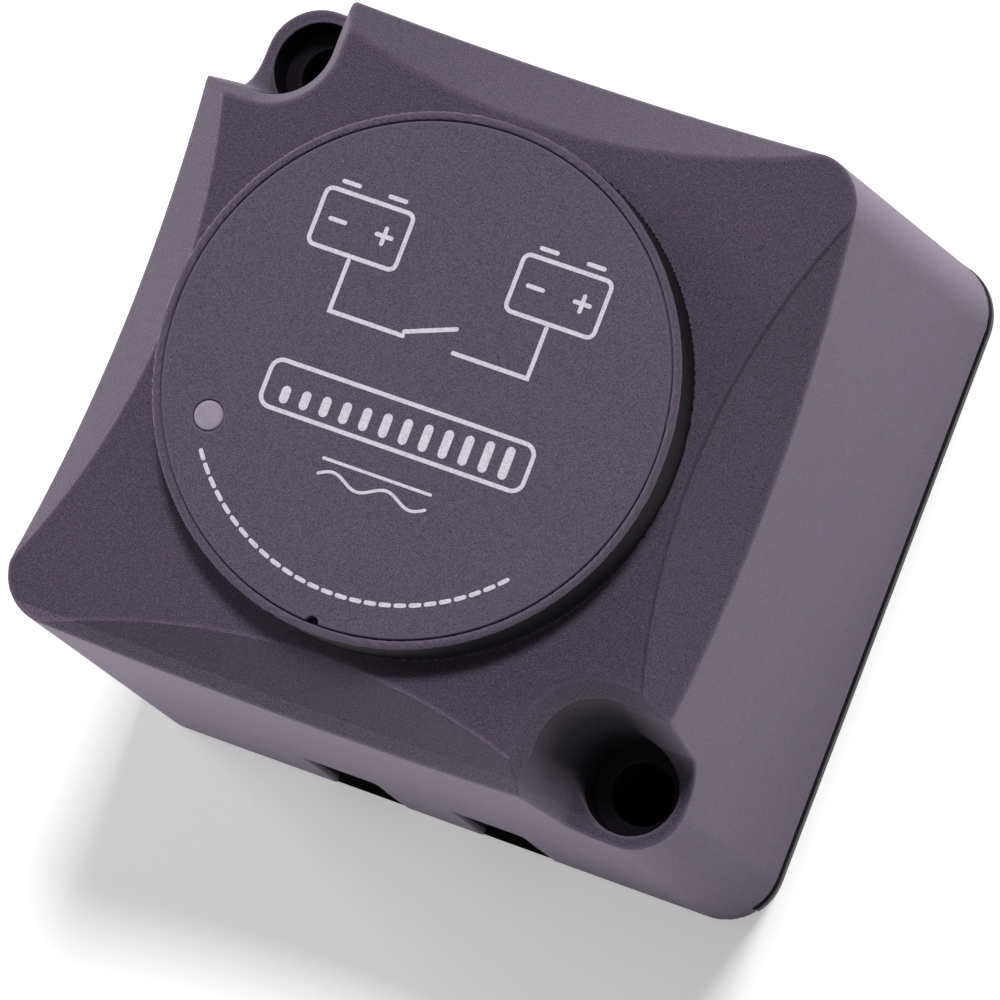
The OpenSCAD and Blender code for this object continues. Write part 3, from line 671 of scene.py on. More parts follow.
Input = Union["Value", bpy.types.NodeSocket, float, tuple]
Owner = Union[bpy.types.Material, bpy.types.World]
MIX_FACTOR, MIX_A, MIX_B, MIX_OUT = 0, 6, 7, 2
NOISE_BAND = (0.3, 0.7)


class Value:
    """A socket in a material. Its operators add the nodes that work out an expression."""

    def __init__(self, shader: "Shader", socket: bpy.types.NodeSocket) -> None:
        """Wraps a socket.

        Args:
            shader: the material that the socket is in.
            socket: the output socket.
        """
        self.shader = shader
        self.socket = socket

    def combined(self, other: Input, operation: str, swapped: bool = False) -> "Value":
        """Adds the node for one operation.

        Args:
            other: the other operand.
            operation: ADD, SUBTRACT, MULTIPLY, POWER, LESS_THAN or GREATER_THAN.
            swapped: whether the other operand comes first.

        Returns:
            The result.
        """
        first, second = (other, self) if swapped else (self, other)
        kinds = {self.socket.type, other.socket.type if isinstance(other, Value) else ""}
        if "RGBA" in kinds:
            sockets = {MIX_FACTOR: 1.0, MIX_A: first, MIX_B: second}
            settings = {"data_type": "RGBA", "blend_type": operation}
            return self.shader.node("ShaderNodeMix", settings, sockets, MIX_OUT)
        if "VECTOR" in kinds:
            return self.shader.node("ShaderNodeVectorMath", {"operation": operation}, {0: first, 1: second})
        return self.shader.node("ShaderNodeMath", {"operation": operation}, {0: first, 1: second})

    def __add__(self, other: Input) -> "Value":
        """This plus the other."""
        return self.combined(other, "ADD")

    def __radd__(self, other: Input) -> "Value":
        """The other plus this."""
        return self.combined(other, "ADD", swapped=True)

    def __sub__(self, other: Input) -> "Value":
        """This less the other."""
        return self.combined(other, "SUBTRACT")

    def __rsub__(self, other: Input) -> "Value":
        """The other less this."""
        return self.combined(other, "SUBTRACT", swapped=True)

    def __mul__(self, other: Input) -> "Value":
        """This times the other."""
        return self.combined(other, "MULTIPLY")

    def __rmul__(self, other: Input) -> "Value":
        """The other times this."""
        return self.combined(other, "MULTIPLY", swapped=True)

    def __pow__(self, other: Input) -> "Value":
        """This to the power of the other."""
        return self.combined(other, "POWER")

    def __rpow__(self, other: Input) -> "Value":
        """The other to the power of this."""
        return self.combined(other, "POWER", swapped=True)

    def __lt__(self, other: Input) -> "Value":
        """One where this is less than the other."""
        return self.combined(other, "LESS_THAN")

    def __gt__(self, other: Input) -> "Value":
        """One where this is greater than the other."""
        return self.combined(other, "GREATER_THAN")

    def __abs__(self) -> "Value":
        """This number without its sign."""
        return self.shader.node("ShaderNodeMath", {"operation": "ABSOLUTE"}, {0: self})

    def largest(self, other: Input) -> "Value":
        """The larger of this number and the other."""
        return self.shader.node("ShaderNodeMath", {"operation": "MAXIMUM"}, {0: self, 1: other})

    def ramp(self, low: float, high: float, to: tuple[float, float] = (0.0, 1.0)) -> "Value":
        """This number taken from one range to another and held there.

        Args:
            low: start of the range it has.
            high: end of the range it has.
            to: the range it gets.

        Returns:
            The new number.
        """
        sockets = {"Value": self, "From Min": low, "From Max": high, "To Min": to[0], "To Max": to[1]}
        return self.shader.node("ShaderNodeMapRange", {"clamp": True}, sockets)

    def spread(self, low: float = 0.0, high: float = 1.0) -> "Value":
        """This noise, nearly all of which lies in its middle band, taken to another range.

        Args:
            low: what the lower end of the band becomes.
            high: what its upper end becomes.

        Returns:
            The new number.
        """
        return self.ramp(*NOISE_BAND, (low, high))

    def between(self, low: Input, high: Input) -> "Value":
        """The mix of two colours by this share.

        Args:
            low: colour at zero.
            high: colour at one.

        Returns:
            The mixed colour.
        """
        sockets = {MIX_FACTOR: self, MIX_A: low, MIX_B: high}
        return self.shader.node("ShaderNodeMix", {"data_type": "RGBA"}, sockets, MIX_OUT)


class Shader:
    """The nodes of a material or of the world."""

    def __init__(self, owner: Owner) -> None:
        """Starts with no nodes.

        Args:
            owner: the material or the world that the nodes belong to.
        """
        self.owner = owner
        owner.use_nodes = True
        self.tree = owner.node_tree
        self.tree.nodes.clear()

    def node(self, kind: str, settings: Optional[dict] = None, sockets: Optional[dict] = None,
             output: Union[int, str] = 0) -> Optional[Value]:
        """Adds a node.

        Args:
            kind: the node's type.
            settings: its properties.
            sockets: values or links of its inputs, by name or number.
            output: the output that is wanted.

        Returns:
            That output, or None where the node has no outputs.
        """
        made = self.tree.nodes.new(kind)
        for name, setting in (settings or {}).items():
            setattr(made, name, setting)
        for name, value in (sockets or {}).items():
            self.feed(made.inputs[name], value)
        return Value(self, made.outputs[output]) if made.outputs else None

    def feed(self, socket: bpy.types.NodeSocket, value: Input) -> None:
        """Links or sets an input.

        Args:
            socket: the input.
            value: a value to link, a number, or a colour or vector of three numbers.
        """
        if isinstance(value, (Value, bpy.types.NodeSocket)):
            self.tree.links.new(value.socket if isinstance(value, Value) else value, socket)
        elif socket.type == "RGBA":
            colour = value if isinstance(value, tuple) else (value,) * 3
            socket.default_value = (*colour, 1.0)
        elif socket.type == "VECTOR" and not isinstance(value, tuple):
            socket.default_value = (value,) * 3
        else:
            socket.default_value = value

    def place(self) -> Value:
        """The place on the object in millimetres."""
        return self.node("ShaderNodeTexCoord", output="Object") * (1.0 / MM, 1.0 / MM, 1.0 / MM)

    def parts(self, place: Value) -> tuple[Value, Value, Value]:
        """The three numbers of a place."""
        split = self.node("ShaderNodeSeparateXYZ", {}, {0: place}).socket.node
        return tuple(Value(self, socket) for socket in split.outputs)

    def length(self, a: Value, b: Value) -> Value:
        """The long side of a right triangle with these short sides."""
        return (a * a + b * b) ** 0.5

    def noise(self, place: Value, size: float, detail: float = 2.0, rough: float = 0.5) -> Value:
        """Soft noise.

        Args:
            place: where it is read.
            size: size of its spots in millimetres.
            detail: how many finer layers it has.
            rough: how strong the finer layers are.

        Returns:
            A number about one half.
        """
        sockets = {"Vector": place, "Scale": 1.0 / size, "Detail": detail, "Roughness": rough}
        return self.node("ShaderNodeTexNoise", {}, sockets, "Fac")

    def bump(self, height: Value, depth: float) -> Value:
        """A normal from a height.

        Args:
            height: the height, about from zero to one.
            depth: what one means, in millimetres.

        Returns:
            The normal.
        """
        return self.node("ShaderNodeBump", {}, {"Strength": 1.0, "Distance": depth * MM, "Height": height})

    def finish(self, surface: Value) -> Owner:
        """Sends a surface to the output.

        Args:
            surface: the shader's output.

        Returns:
            The material or the world.
        """
        kind = "World" if isinstance(self.owner, bpy.types.World) else "Material"
        self.node("ShaderNodeOutput" + kind, {}, {"Surface": surface})
        return self.owner


@dataclass(frozen=True)
class MouldedPlastic:
    """Matt moulded plastic with a blasted grain, with a painted highlight along its convex edges."""

    colour: Colour
    roughness: float = 0.55
    grain: float = 0.26
    grain_depth: float = 0.02
    speckle: float = 0.22
    painted_edge_highlight: float = 0.0
    fleck: float = 0.0
    specular: float = 0.5
    sheen: float = 0.0
    sheen_tint: Colour = (0.92, 0.76, 0.96)
    sheen_roughness: float = 0.45
    edge_start: float = 0.15
    edge_end: float = 1.4
    cloud: float = 9.0
    cloud_share: float = 0.06
    coarse_share: float = 0.7
    rough_spread: float = 0.05
    fleck_share: float = 0.7
    fleck_band: Spot = (0.66, 0.74)
    edge_highlight_least: float = 0.6
    edge_highlight_band: Spot = (0.2, 0.6)

    def material(self, name: str) -> bpy.types.Material:
        """Makes the material.

        Args:
            name: its name.

        Returns:
            The material.
        """
        shader = Shader(bpy.data.materials.new(name))
        place = shader.place()
        fine = shader.noise(place, self.grain / 2, detail=1.0)
        coarse = shader.noise(place, self.grain, rough=0.6)
        cloud = shader.noise(place, self.cloud, detail=3.0)
        tone = 1.0 + (fine - 0.5) * self.speckle * 2.0 + (coarse - 0.5) * self.speckle * 2.0
        tone = tone + (cloud - 0.5) * self.cloud_share * 2.0
        if self.fleck:
            flecks = shader.noise(place, self.grain * self.fleck_share, detail=0.0)
            tone = tone + flecks.ramp(*self.fleck_band, (0.0, self.fleck))
        colour = tone * self.colour_value(shader)
        rough = coarse.spread(self.roughness - self.rough_spread, self.roughness + self.rough_spread)
        # Convex edges are painted lighter as a highlight, broken up by the coarse noise.
        if self.painted_edge_highlight:
            edge = shader.node("ShaderNodeAttribute", {"attribute_name": "edge"}, {}, "Fac")
            highlit_edge = edge.ramp(self.edge_start, self.edge_end)
            lighter = tuple(min(1.0, c * (1.0 + self.painted_edge_highlight)) for c in self.colour)
            colour = (highlit_edge * coarse.ramp(*self.edge_highlight_band, (self.edge_highlight_least, 1.0))).between(colour, lighter)
        height = coarse * self.coarse_share + fine * (1.0 - self.coarse_share)
        normal = shader.bump(height, self.grain_depth)
        sockets = {"Base Color": colour, "Roughness": rough, "Normal": normal,
                   "Specular IOR Level": self.specular, "Sheen Weight": self.sheen,
                   "Sheen Roughness": self.sheen_roughness, "Sheen Tint": self.sheen_tint}
        return shader.finish(self.surface(shader, place, colour, sockets))

    def surface(self, shader: Shader, place: Value, colour: Value, sockets: dict) -> Value:
        """The surface itself, the same all over.

        Args:
            shader: the material.
            place: the place on the object.
            colour: its colour.
            sockets: what the surface's inputs get.

        Returns:
            The surface.
        """
        return shader.node("ShaderNodeBsdfPrincipled", {}, sockets)

    def colour_value(self, shader: Shader) -> Value:
        """The plain colour as a value that maths can use."""
        return shader.node("ShaderNodeMix", {"data_type": "RGBA"},
                           {MIX_FACTOR: 0.0, MIX_A: self.colour, MIX_B: self.colour}, MIX_OUT)


@dataclass(frozen=True)
class CasePlastic(MouldedPlastic):
    """The case's plastic, which is smooth on the boss's side, in the pockets and in the bays, and painted
    dark there as shade.

    Painted highlight lines lie along the creases where the front meets its scoops at -x and -y, and a
    painted shade line at +x.
    """

    # How dark the smooth zones are painted, as shade.
    painted_shade_tone: float = 0.12
    side_band: float = 0.22
    deepening: float = 5.0
    line_half: float = 0.2
    # Strength of the painted highlight lines and of the painted shade line on the creases.
    painted_line_highlight: float = 1.0
    painted_line_shade: float = 0.5
    rim: float = 1.3
    lip_share: float = 0.6
    # Painted light on the upper wall at -y: its strength at -x and at +x, and the heights over which it
    # grows.
    painted_wall_light: float = 0.5
    painted_wall_light_far: float = 0.1
    painted_wall_light_low_z: float = 16.0
    painted_wall_light_high_z: float = 44.0

    def surface(self, shader: Shader, place: Value, colour: Value, sockets: dict) -> Value:
        """The grained surface with its painted crease lines, mixed with the smooth one that is painted dark
        as shade.

        Args:
            shader: the material.
            place: the place on the object.
            colour: its colour.
            sockets: what the surface's inputs get.

        Returns:
            The surface.
        """
        x, y, z = shader.parts(place)
        # The smooth surface is the case colour darkened as painted shade.
        grained = sockets | {"Base Color": colour * self.painted_crease_light(shader, x, y, z)}
        smooth = {"Base Color": colour * self.painted_shade_tone, "Roughness": self.roughness,
                  "Specular IOR Level": self.specular}
        ends = {0: self.painted_shade_zones(shader, x, y, z), 1: super().surface(shader, place, colour, grained),
                2: super().surface(shader, place, colour, smooth)}
        return shader.node("ShaderNodeMixShader", {}, ends)

    def painted_shade_zones(self, shader: Shader, x: Value, y: Value, z: Value) -> Value:
        """One where smooth plastic is painted dark as shade: the boss's side, the inner walls and bores of
        the pockets, and the bays.

        Args:
            shader: the material.
            x: the place's x.
            y: its y.
            z: its height.

        Returns:
            The mask.
        """
        half_x, half_y, top = corner_of("housing")
        # Each mask below marks a zone that is painted dark as shade.
        side = abs(shader.length(x, y) - Housing.boss_r) < self.side_band
        side = side * (z > Housing.body_h + self.side_band / 2) * (z < top - self.side_band)
        mount = half_x - Housing.mount_edge
        turn = (x > y) * 2.0 - 1.0
        u, v = x * turn - mount, y * turn * -1.0 - mount
        near = shader.length((u * -1.0).largest(0.0), (v * -1.0).largest(0.0))
        wall_r = Housing.pocket_fillet_r + Housing.pocket_lean
        lip_z = Housing.body_h - Housing.pocket_lip_h
        wall = near.ramp(wall_r / 3, wall_r / 2) * (near < wall_r + self.side_band)
        wall = wall * z.ramp(lip_z - self.deepening, lip_z, (1.0, self.lip_share))
        open_side = Housing.mount_edge - self.rim
        wall = wall * u.largest(v).ramp(open_side - self.deepening, open_side, (1.0, 0.0))
        bore = shader.length(u, v) < Housing.counterbore_r + self.side_band
        bore = bore * (z < Housing.pocket_floor_z - self.side_band)
        bay_half = Housing.bay_in + Housing.bay_w + self.side_band
        bay = (abs(x) < bay_half) * (y > self.rim / 2 - half_y)
        bay = bay * (y < self.side_band - Housing.bay_back) * (z < Housing.deck_z)
        return side.largest(wall * (z < lip_z)).largest(bore.largest(bay))

    def painted_crease_light(self, shader: Shader, x: Value, y: Value, z: Value) -> Value:
        """Painted light and shade on the creases: highlight lines on the sides at -x and -y, a shade line
        at +x.

        The wall at -y is painted lighter towards its upper edge and towards -x, as painted light.

        Args:
            shader: the material.
            x: the place's x.
            y: its y.
            z: its height.

        Returns:
            What the colour is multiplied by.
        """
        front = abs(z - Housing.body_h) < self.line_half
        across, along = (shader.length((abs(one) + z) * DIAGONAL - Housing.scoop_axis(), other)
                         - Housing.scoop_r for one, other in ((x, y), (y, x)))
        line_x, line_y = (abs(gap).ramp(self.line_half, 0.0) * front for gap in (across, along))
        # Painted highlight lines on the creases at -x and -y.
        light = (line_y * (y < 0.0)).largest(line_x * (x < 0.0))
        half = corner_of("housing")[0]
        # Painted light on the wall at -y, stronger higher up and towards -x.
        painted_wall_light = z.ramp(self.painted_wall_light_low_z, self.painted_wall_light_high_z) * (y < 2 * self.rim - half)
        painted_wall_light = painted_wall_light * x.ramp(-half, half, (self.painted_wall_light, self.painted_wall_light_far))
        # The crease at +x gets a painted shade line.
        return 1.0 + light * self.painted_line_highlight + painted_wall_light - line_x * (x > 0.0) * self.painted_line_shade


@dataclass(frozen=True)
class Metal:
    """Bare or plated metal with fine tool lines and a little tarnish."""

    colour: Colour
    roughness: float = 0.32
    lines: Axis = Axis.NONE
    line_size: float = 0.08
    line_depth: float = 0.004
    line_tone: float = 0.86
    tarnish: Colour = (0.12, 0.1, 0.08)
    tarnish_share: float = 0.2
    tarnish_band: Spot = (0.45, 0.75)
    spot_size: float = 1.7
    rough_band: Spot = (0.3, 0.8)
    smoother: float = 0.06
    rougher: float = 0.12
    coat: float = 0.0

    def material(self, name: str) -> bpy.types.Material:
        """Makes the material.

        Args:
            name: its name.

        Returns:
            The material.
        """
        shader = Shader(bpy.data.materials.new(name))
        place = shader.place()
        lines = shader.noise(place * self.lines.value, self.line_size, rough=0.6)
        spots = shader.noise(place, self.spot_size, detail=4.0, rough=0.6)
        dull = spots.ramp(*self.tarnish_band, (0.0, self.tarnish_share))
        colour = dull.between(self.colour, self.tarnish)
        colour = lines.spread().between(colour * self.line_tone, colour)
        ends = (self.roughness - self.smoother, self.roughness + self.rougher)
        rough = spots.ramp(*self.rough_band, ends)
        sockets = {"Base Color": colour, "Roughness": rough, "Metallic": 1.0,
                   "Normal": shader.bump(lines, self.line_depth), "Coat Weight": self.coat}
        return shader.finish(shader.node("ShaderNodeBsdfPrincipled", {}, sockets))


@dataclass(frozen=True)
class Rubber:
    """Soft black rubber with a faint bloom."""

    colour: Colour
    roughness: float = 0.7
    rough_spread: float = 0.1
    bloom_size: float = 3.0
    bloom_band: Spot = (0.35, 0.75)
    bloom_tone: float = 2.2
    bloom_light: float = 0.006
    pore_size: float = 0.15
    pore_depth: float = 0.01
    specular: float = 0.3

    def material(self, name: str) -> bpy.types.Material:
        """Makes the material.

        Args:
            name: its name.

        Returns:
            The material.
        """
        shader = Shader(bpy.data.materials.new(name))
        place = shader.place()
        bloom = shader.noise(place, self.bloom_size, detail=4.0, rough=0.6)
        pores = shader.noise(place, self.pore_size, detail=1.0)
        pale = tuple(c * self.bloom_tone + self.bloom_light for c in self.colour)
        rough = pores.spread(self.roughness - self.rough_spread, self.roughness + self.rough_spread)
        sockets = {"Base Color": bloom.ramp(*self.bloom_band).between(self.colour, pale),
                   "Roughness": rough, "Normal": shader.bump(pores, self.pore_depth),
                   "Specular IOR Level": self.specular}
        return shader.finish(shader.node("ShaderNodeBsdfPrincipled", {}, sockets))


@dataclass(frozen=True)
class ClearPlastic:
    """Frosted or clear plastic that light passes into."""

    colour: Colour
    roughness: float = 0.35
    rough_spread: float = 0.06
    haze: float = 0.8
    haze_tone: float = 0.86
    grain: float = 0.12
    grain_depth: float = 0.006
    soak: float = 0.15
    soak_depth: float = 0.6
    coat: float = 0.3

    def material(self, name: str) -> bpy.types.Material:
        """Makes the material.

        Args:
            name: its name.

        Returns:
            The material.
        """
        shader = Shader(bpy.data.materials.new(name))
        place = shader.place()
        cloud = shader.noise(place, self.haze, detail=3.0, rough=0.6)
        grain = shader.noise(place, self.grain, detail=1.0)
        darker = tuple(c * self.haze_tone for c in self.colour)
        rough = grain.spread(self.roughness - self.rough_spread, self.roughness + self.rough_spread)
        sockets = {"Base Color": cloud.spread().between(darker, self.colour), "Roughness": rough,
                   "Normal": shader.bump(grain, self.grain_depth), "Subsurface Weight": self.soak,
                   "Subsurface Scale": self.soak_depth * MM, "Coat Weight": self.coat}
        return shader.finish(shader.node("ShaderNodeBsdfPrincipled", {}, sockets))


@dataclass(frozen=True)
class Laminate:
    """Circuit board: solder mask over copper tracks, with a woven core below."""

    mask: Colour
    track: Colour
    pitch: float = 1.9
    track_share: float = 0.3
    track_shares: float = 4.0
    track_shift: float = 0.37
    track_soft: float = 0.2
    region: float = 6.0
    region_band: Spot = (0.4, 0.5)
    weave_size: float = 0.3
    weave_tone: float = 0.9
    roughness: float = 0.31
    rough_spread: float = 0.05
    relief: float = 0.03
    track_relief: float = 0.8

    def material(self, name: str) -> bpy.types.Material:
        """Makes the material.

        Args:
            name: its name.

        Returns:
            The material.
        """
        shader = Shader(bpy.data.materials.new(name))
        place = shader.place()
        wander = shader.noise(place, self.region, detail=0.0)
        bricks = {"Vector": place, "Scale": 1.0 / self.pitch, "Mortar Size": self.track_share / 2,
                  "Mortar Smooth": self.track_soft, "Row Height": 1.0, "Brick Width": self.track_shares}
        tracks = shader.node("ShaderNodeTexBrick", {"offset": self.track_shift}, bricks, "Fac")
        weave = shader.noise(place, self.weave_size, detail=1.0)
        colour = (tracks * wander.ramp(*self.region_band)).between(self.mask, self.track)
        colour = weave.spread().between(colour * self.weave_tone, colour)
        rough = weave.spread(self.roughness - self.rough_spread, self.roughness + self.rough_spread)
        height = tracks * self.track_relief + weave * (1.0 - self.track_relief)
        sockets = {"Base Color": colour, "Roughness": rough,
                   "Normal": shader.bump(height, self.relief)}
        return shader.finish(shader.node("ShaderNodeBsdfPrincipled", {}, sockets))


@dataclass(frozen=True)
class PadPrint:
    """Pale ink laid on the grain of the plastic."""

    colour: Colour
    grain: float = 0.2
    grain_depth: float = 0.012
    thin_tone: float = 0.72
    thin_band: Spot = (0.3, 0.6)
    rough_ends: Spot = (0.5, 0.65)

    def material(self, name: str) -> bpy.types.Material:
        """Makes the material.

        Args:
            name: its name.

        Returns:
            The material.
        """
        shader = Shader(bpy.data.materials.new(name))
        place = shader.place()
        pits = shader.noise(place, self.grain, rough=0.6)
        thin = tuple(c * self.thin_tone for c in self.colour)
        sockets = {"Base Color": pits.ramp(*self.thin_band).between(thin, self.colour),
                   "Roughness": pits.spread(*self.rough_ends),
                   "Normal": shader.bump(pits, self.grain_depth)}
        return shader.finish(shader.node("ShaderNodeBsdfPrincipled", {}, sockets))


FINISHES = {
    # The case and the disc get painted edge highlights; the case also gets the painted light and shade of
    # CasePlastic.
    "housing_plastic": CasePlastic((0.08, 0.064, 0.093), 0.65, grain=0.16, speckle=0.9, painted_edge_highlight=0.9,
                                   fleck=0.7, specular=0.15, grain_depth=0.02, sheen=0.25),
    "label_plastic": MouldedPlastic((0.105, 0.088, 0.124), 0.65, grain=0.15, speckle=0.9, fleck=0.6,
                                    painted_edge_highlight=0.3, specular=0.15, grain_depth=0.03, sheen=0.1),
    "light_pipe": ClearPlastic((0.36, 0.31, 0.4)),
    "cover_plastic": MouldedPlastic((0.03, 0.026, 0.033), grain=0.4),
    "black_rubber": Rubber((0.012, 0.012, 0.013)),
    "stud_brass": Metal((0.75, 0.55, 0.22), 0.3, Axis.ROUND, tarnish=(0.3, 0.17, 0.06)),
    "plated_steel": Metal((0.62, 0.63, 0.65), 0.3, Axis.NONE, tarnish=(0.3, 0.3, 0.32)),
    "copper": Metal((0.8, 0.42, 0.26), 0.34, Axis.ALONG_Y, tarnish=(0.3, 0.1, 0.05)),
    "contact_silver": Metal((0.82, 0.81, 0.78), 0.36, Axis.NONE, tarnish=(0.35, 0.32, 0.28)),
    "spring_steel": Metal((0.42, 0.43, 0.45), 0.28, Axis.ROUND, tarnish=(0.1, 0.1, 0.11)),
    "carrier_plastic": MouldedPlastic((0.55, 0.46, 0.28), 0.5, grain=0.5, speckle=0.1),
    "magnet_iron": Metal((0.4, 0.41, 0.43), 0.38, Axis.ALONG_X, tarnish=(0.16, 0.15, 0.15)),
    "bobbin_plastic": MouldedPlastic((0.018, 0.018, 0.022), 0.42, grain=0.35, speckle=0.15),
    "enamelled_wire": Metal((0.62, 0.2, 0.06), 0.25, Axis.NONE, coat=0.6, tarnish=(0.3, 0.07, 0.02)),
    "tinned_wire": Metal((0.72, 0.72, 0.72), 0.3, Axis.NONE, tarnish=(0.4, 0.4, 0.42)),
    "chassis_plastic": MouldedPlastic((0.06, 0.055, 0.07), 0.5, grain=0.4, speckle=0.15),
    "board_laminate": Laminate((0.012, 0.075, 0.03), (0.03, 0.14, 0.05)),
    "led_lens": ClearPlastic((0.66, 0.76, 0.6), 0.2),
    "chip_plastic": MouldedPlastic((0.014, 0.014, 0.016), 0.5, grain=0.15, speckle=0.2),
    "capacitor_sleeve": MouldedPlastic((0.016, 0.018, 0.06), 0.25, grain=1.2, speckle=0.08),
    "resistor_body": MouldedPlastic((0.02, 0.02, 0.024), 0.3, grain=0.3, speckle=0.12),
    "pad_print": PadPrint((0.82, 0.76, 0.86)),
}


class Paintbox:
    """Makes each finish once and puts it on pieces."""

    def __init__(self) -> None:
        """Starts with no finish made."""
        self.made: dict[str, bpy.types.Material] = {}

    def dress(self, piece: bpy.types.Object, slot: str) -> None:
        """Gives a piece the finish of a slot of the record.

        Args:
            piece: the piece.
            slot: the slot's name.
        """
        if slot not in self.made:
            self.made[slot] = FINISHES[slot].material(slot)
        piece.data.materials.clear()
        piece.data.materials.append(self.made[slot])

    def dress_new(self, piece: bpy.types.Object, slot: str, body: str, *nodes: str) -> None:
        """Dresses a new piece, hangs it on the body that it rides on and hides the nodes that it stands
        for.

        Args:
            piece: the piece.
            slot: the slot of its finish.
            body: the body that it rides on.
            nodes: the nodes that it stands for.
        """
        self.dress(piece, slot)
        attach(piece, body)
        if nodes:
            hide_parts(*nodes)
        log.info("%s: %d faces", piece.name, len(piece.data.polygons))

    def dress_frame(self, shown: Iterable[str]) -> None:
        """Dresses the nodes of the frame that stay.

        Args:
            shown: their names.
        """
        slots = {part["node"]: part["material_slot"] for part in frame["record"]["subparts"]}
        for node in shown:
            self.dress(frame["nodes"][node], slots[node])
            log.info("%s: %s", node, slots[node])


def corner_of(node: str, high: bool = True) -> Place:
    """The highest corner of a node's box in millimetres, or its lowest."""
    return tuple(float(v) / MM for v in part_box(node)[1 if high else 0])


def middle_of(node: str) -> Place:
    """The middle of a node's box in millimetres."""
    return tuple((a + b) / 2 for a, b in zip(corner_of(node, high=False), corner_of(node)))


@dataclass
class Housing:
    """The moulded case: scooped front edges, round boss, corner pockets and bays."""

    draft_in: float = 1.34
    body_h: float = 51.7
    corner_r: float = 5.7
    corner_top_r: float = 5.1
    wall: float = 2.2
    boss_r: float = 25.4
    boss_inner_r: float = 22.9
    boss_roof_z: float = 52.9
    rim_w: float = 0.83
    window_gap: float = 0.05
    scoop_r: float = 95.4
    scoop_start: float = 26.7
    mount_quarters: tuple[int, int] = (1, 3)
    mount_edge: float = 6.7
    hole_r: float = 3.0
    counterbore_r: float = 4.6
    ledge_z: float = 31.5
    pocket_floor_z: float = 35.7
    pocket_fillet_r: float = 4.2
    pocket_lean: float = 1.6
    pocket_lip_w: float = 1.3
    pocket_lip_h: float = 1.8
    pillar_r: float = 7.4
    foot_r: float = 5.0
    bay_in: float = 0.8
    bay_w: float = 17.6
    bay_back: float = 11.0
    bay_wall: float = 1.5
    bay_depth: float = 18.0
    deck_z: float = 20.0
    notch_w: float = 7.5
    notch_h: float = 12.6
    notch_x: float = 7.95
    seat_z: float = 1.7
    seat_lip_w: float = 1.5
    post_r: float = 3.2
    post_sink: float = 0.6
    post_side: float = 12.0
    peg_r: float = 1.55
    peg_top_z: float = 7.9
    stud_hole_r: float = 3.1
    stud_spot: Spot = (9.6, -21.0)
    seal_r: float = 4.6
    seal_t: float = 1.0
    grommet_r: float = 2.55
    grommet_spot: Spot = (14.6, 9.0)
    chassis_post: Spot = (25.0, 2.0)
    chassis_post_r: float = 3.0
    chassis_top_z: float = 3.9
    chassis_hole_z: float = 12.9
    rib_t: float = 2.0
    screw_r: float = 1.55
    board_hole_r: float = 1.3
    board_hole_h: float = 5.45
    board_screw_r: float = 2.2
    board_stud_r: float = 2.4
    over: float = 1.0
    crease: float = 0.3
    sharp: float = 0.22
    lip_round: float = 0.15
    moulding: Moulding = field(default_factory=lambda: Moulding(Net(step=0.35)))

    def __post_init__(self) -> None:
        """Takes the outer sizes from the frame."""
        self.half, _, self.front_z = corner_of("housing")
        self.front_wall = self.half - self.wall
        self.mount_at = self.half - self.mount_edge
        self.bay_out = self.bay_in + self.bay_w
        self.block_half = self.bay_out + self.bay_wall
        self.block_back = self.bay_back - self.bay_wall
        self.label_z = corner_of("label_disc", high=False)[2]
        self.window_at = middle_of("led_window")[:2]
        self.window_r = corner_of("led_window")[0] - self.window_at[0]
        self.board_z = corner_of("circuit_board", high=False)[2]
        self.board_top_z = corner_of("circuit_board")[2]
        self.board_stud = corner_of("board_screws")[0] - self.board_screw_r

    def body(self) -> Solid:
        """The case as a leaning box with a scoop along each front edge."""
        levels = [(0.0, self.half, self.corner_r),
                  (self.body_h, self.half - self.draft_in, self.corner_top_r)]
        front = plane(0.0, 0.0, 1.0, self.body_h)
        body = round_square(levels).met(front, self.crease).met(plane(0.0, 0.0, -1.0, 0.0), self.sharp)
        for quarter in range(4):
            body = body.cut(self.scoop().turned(quarter), self.crease)
        return body

    @classmethod
    def scoop_axis(cls) -> float:
        """How far a scoop's axis lies from the origin, along the diagonal between its side and z."""
        return (cls.scoop_start + cls.body_h) * DIAGONAL + cls.scoop_r

    def scoop(self) -> Solid:
        """The large cylinder that hollows the front edge at +x."""
        far = self.scoop_axis()
        return Solid(lambda p: np.hypot((p.x + p.z) * DIAGONAL - far, p.y) - self.scoop_r)

    def at_mounts(self, solid: Solid) -> Solid:
        """The solid at the axes of both mounting holes."""
        at = self.mount_at
        return every(solid.at(-side * at, side * at) for side in (-1, 1))

    def corner(self, quarter: int, make: Callable[[Array, Array, Array], Array]) -> Solid:
        """A solid made from the distances to the corner open outward from a mounting hole.

        Args:
            quarter: quarter turns from the corner at +x +y.
            make: gives the distance from u, v and the height.

        Returns:
            The solid.
        """
        def distance(p: Points) -> Array:
            """Distance, from places turned into the corner's own frame."""
            q = p.turned(quarter)
            u, v = q.x - self.mount_at, q.y - self.mount_at
            return make(u, v, q.z)
        return Solid(distance)

    def corner_distance(self, u: Array, v: Array) -> Array:
        """Distance to the quarter plane that opens outward from the hole's axis."""
        outside = np.hypot(np.maximum(-u, 0.0), np.maximum(-v, 0.0))
        return np.where((u > 0) & (v > 0), -np.minimum(u, v), outside)

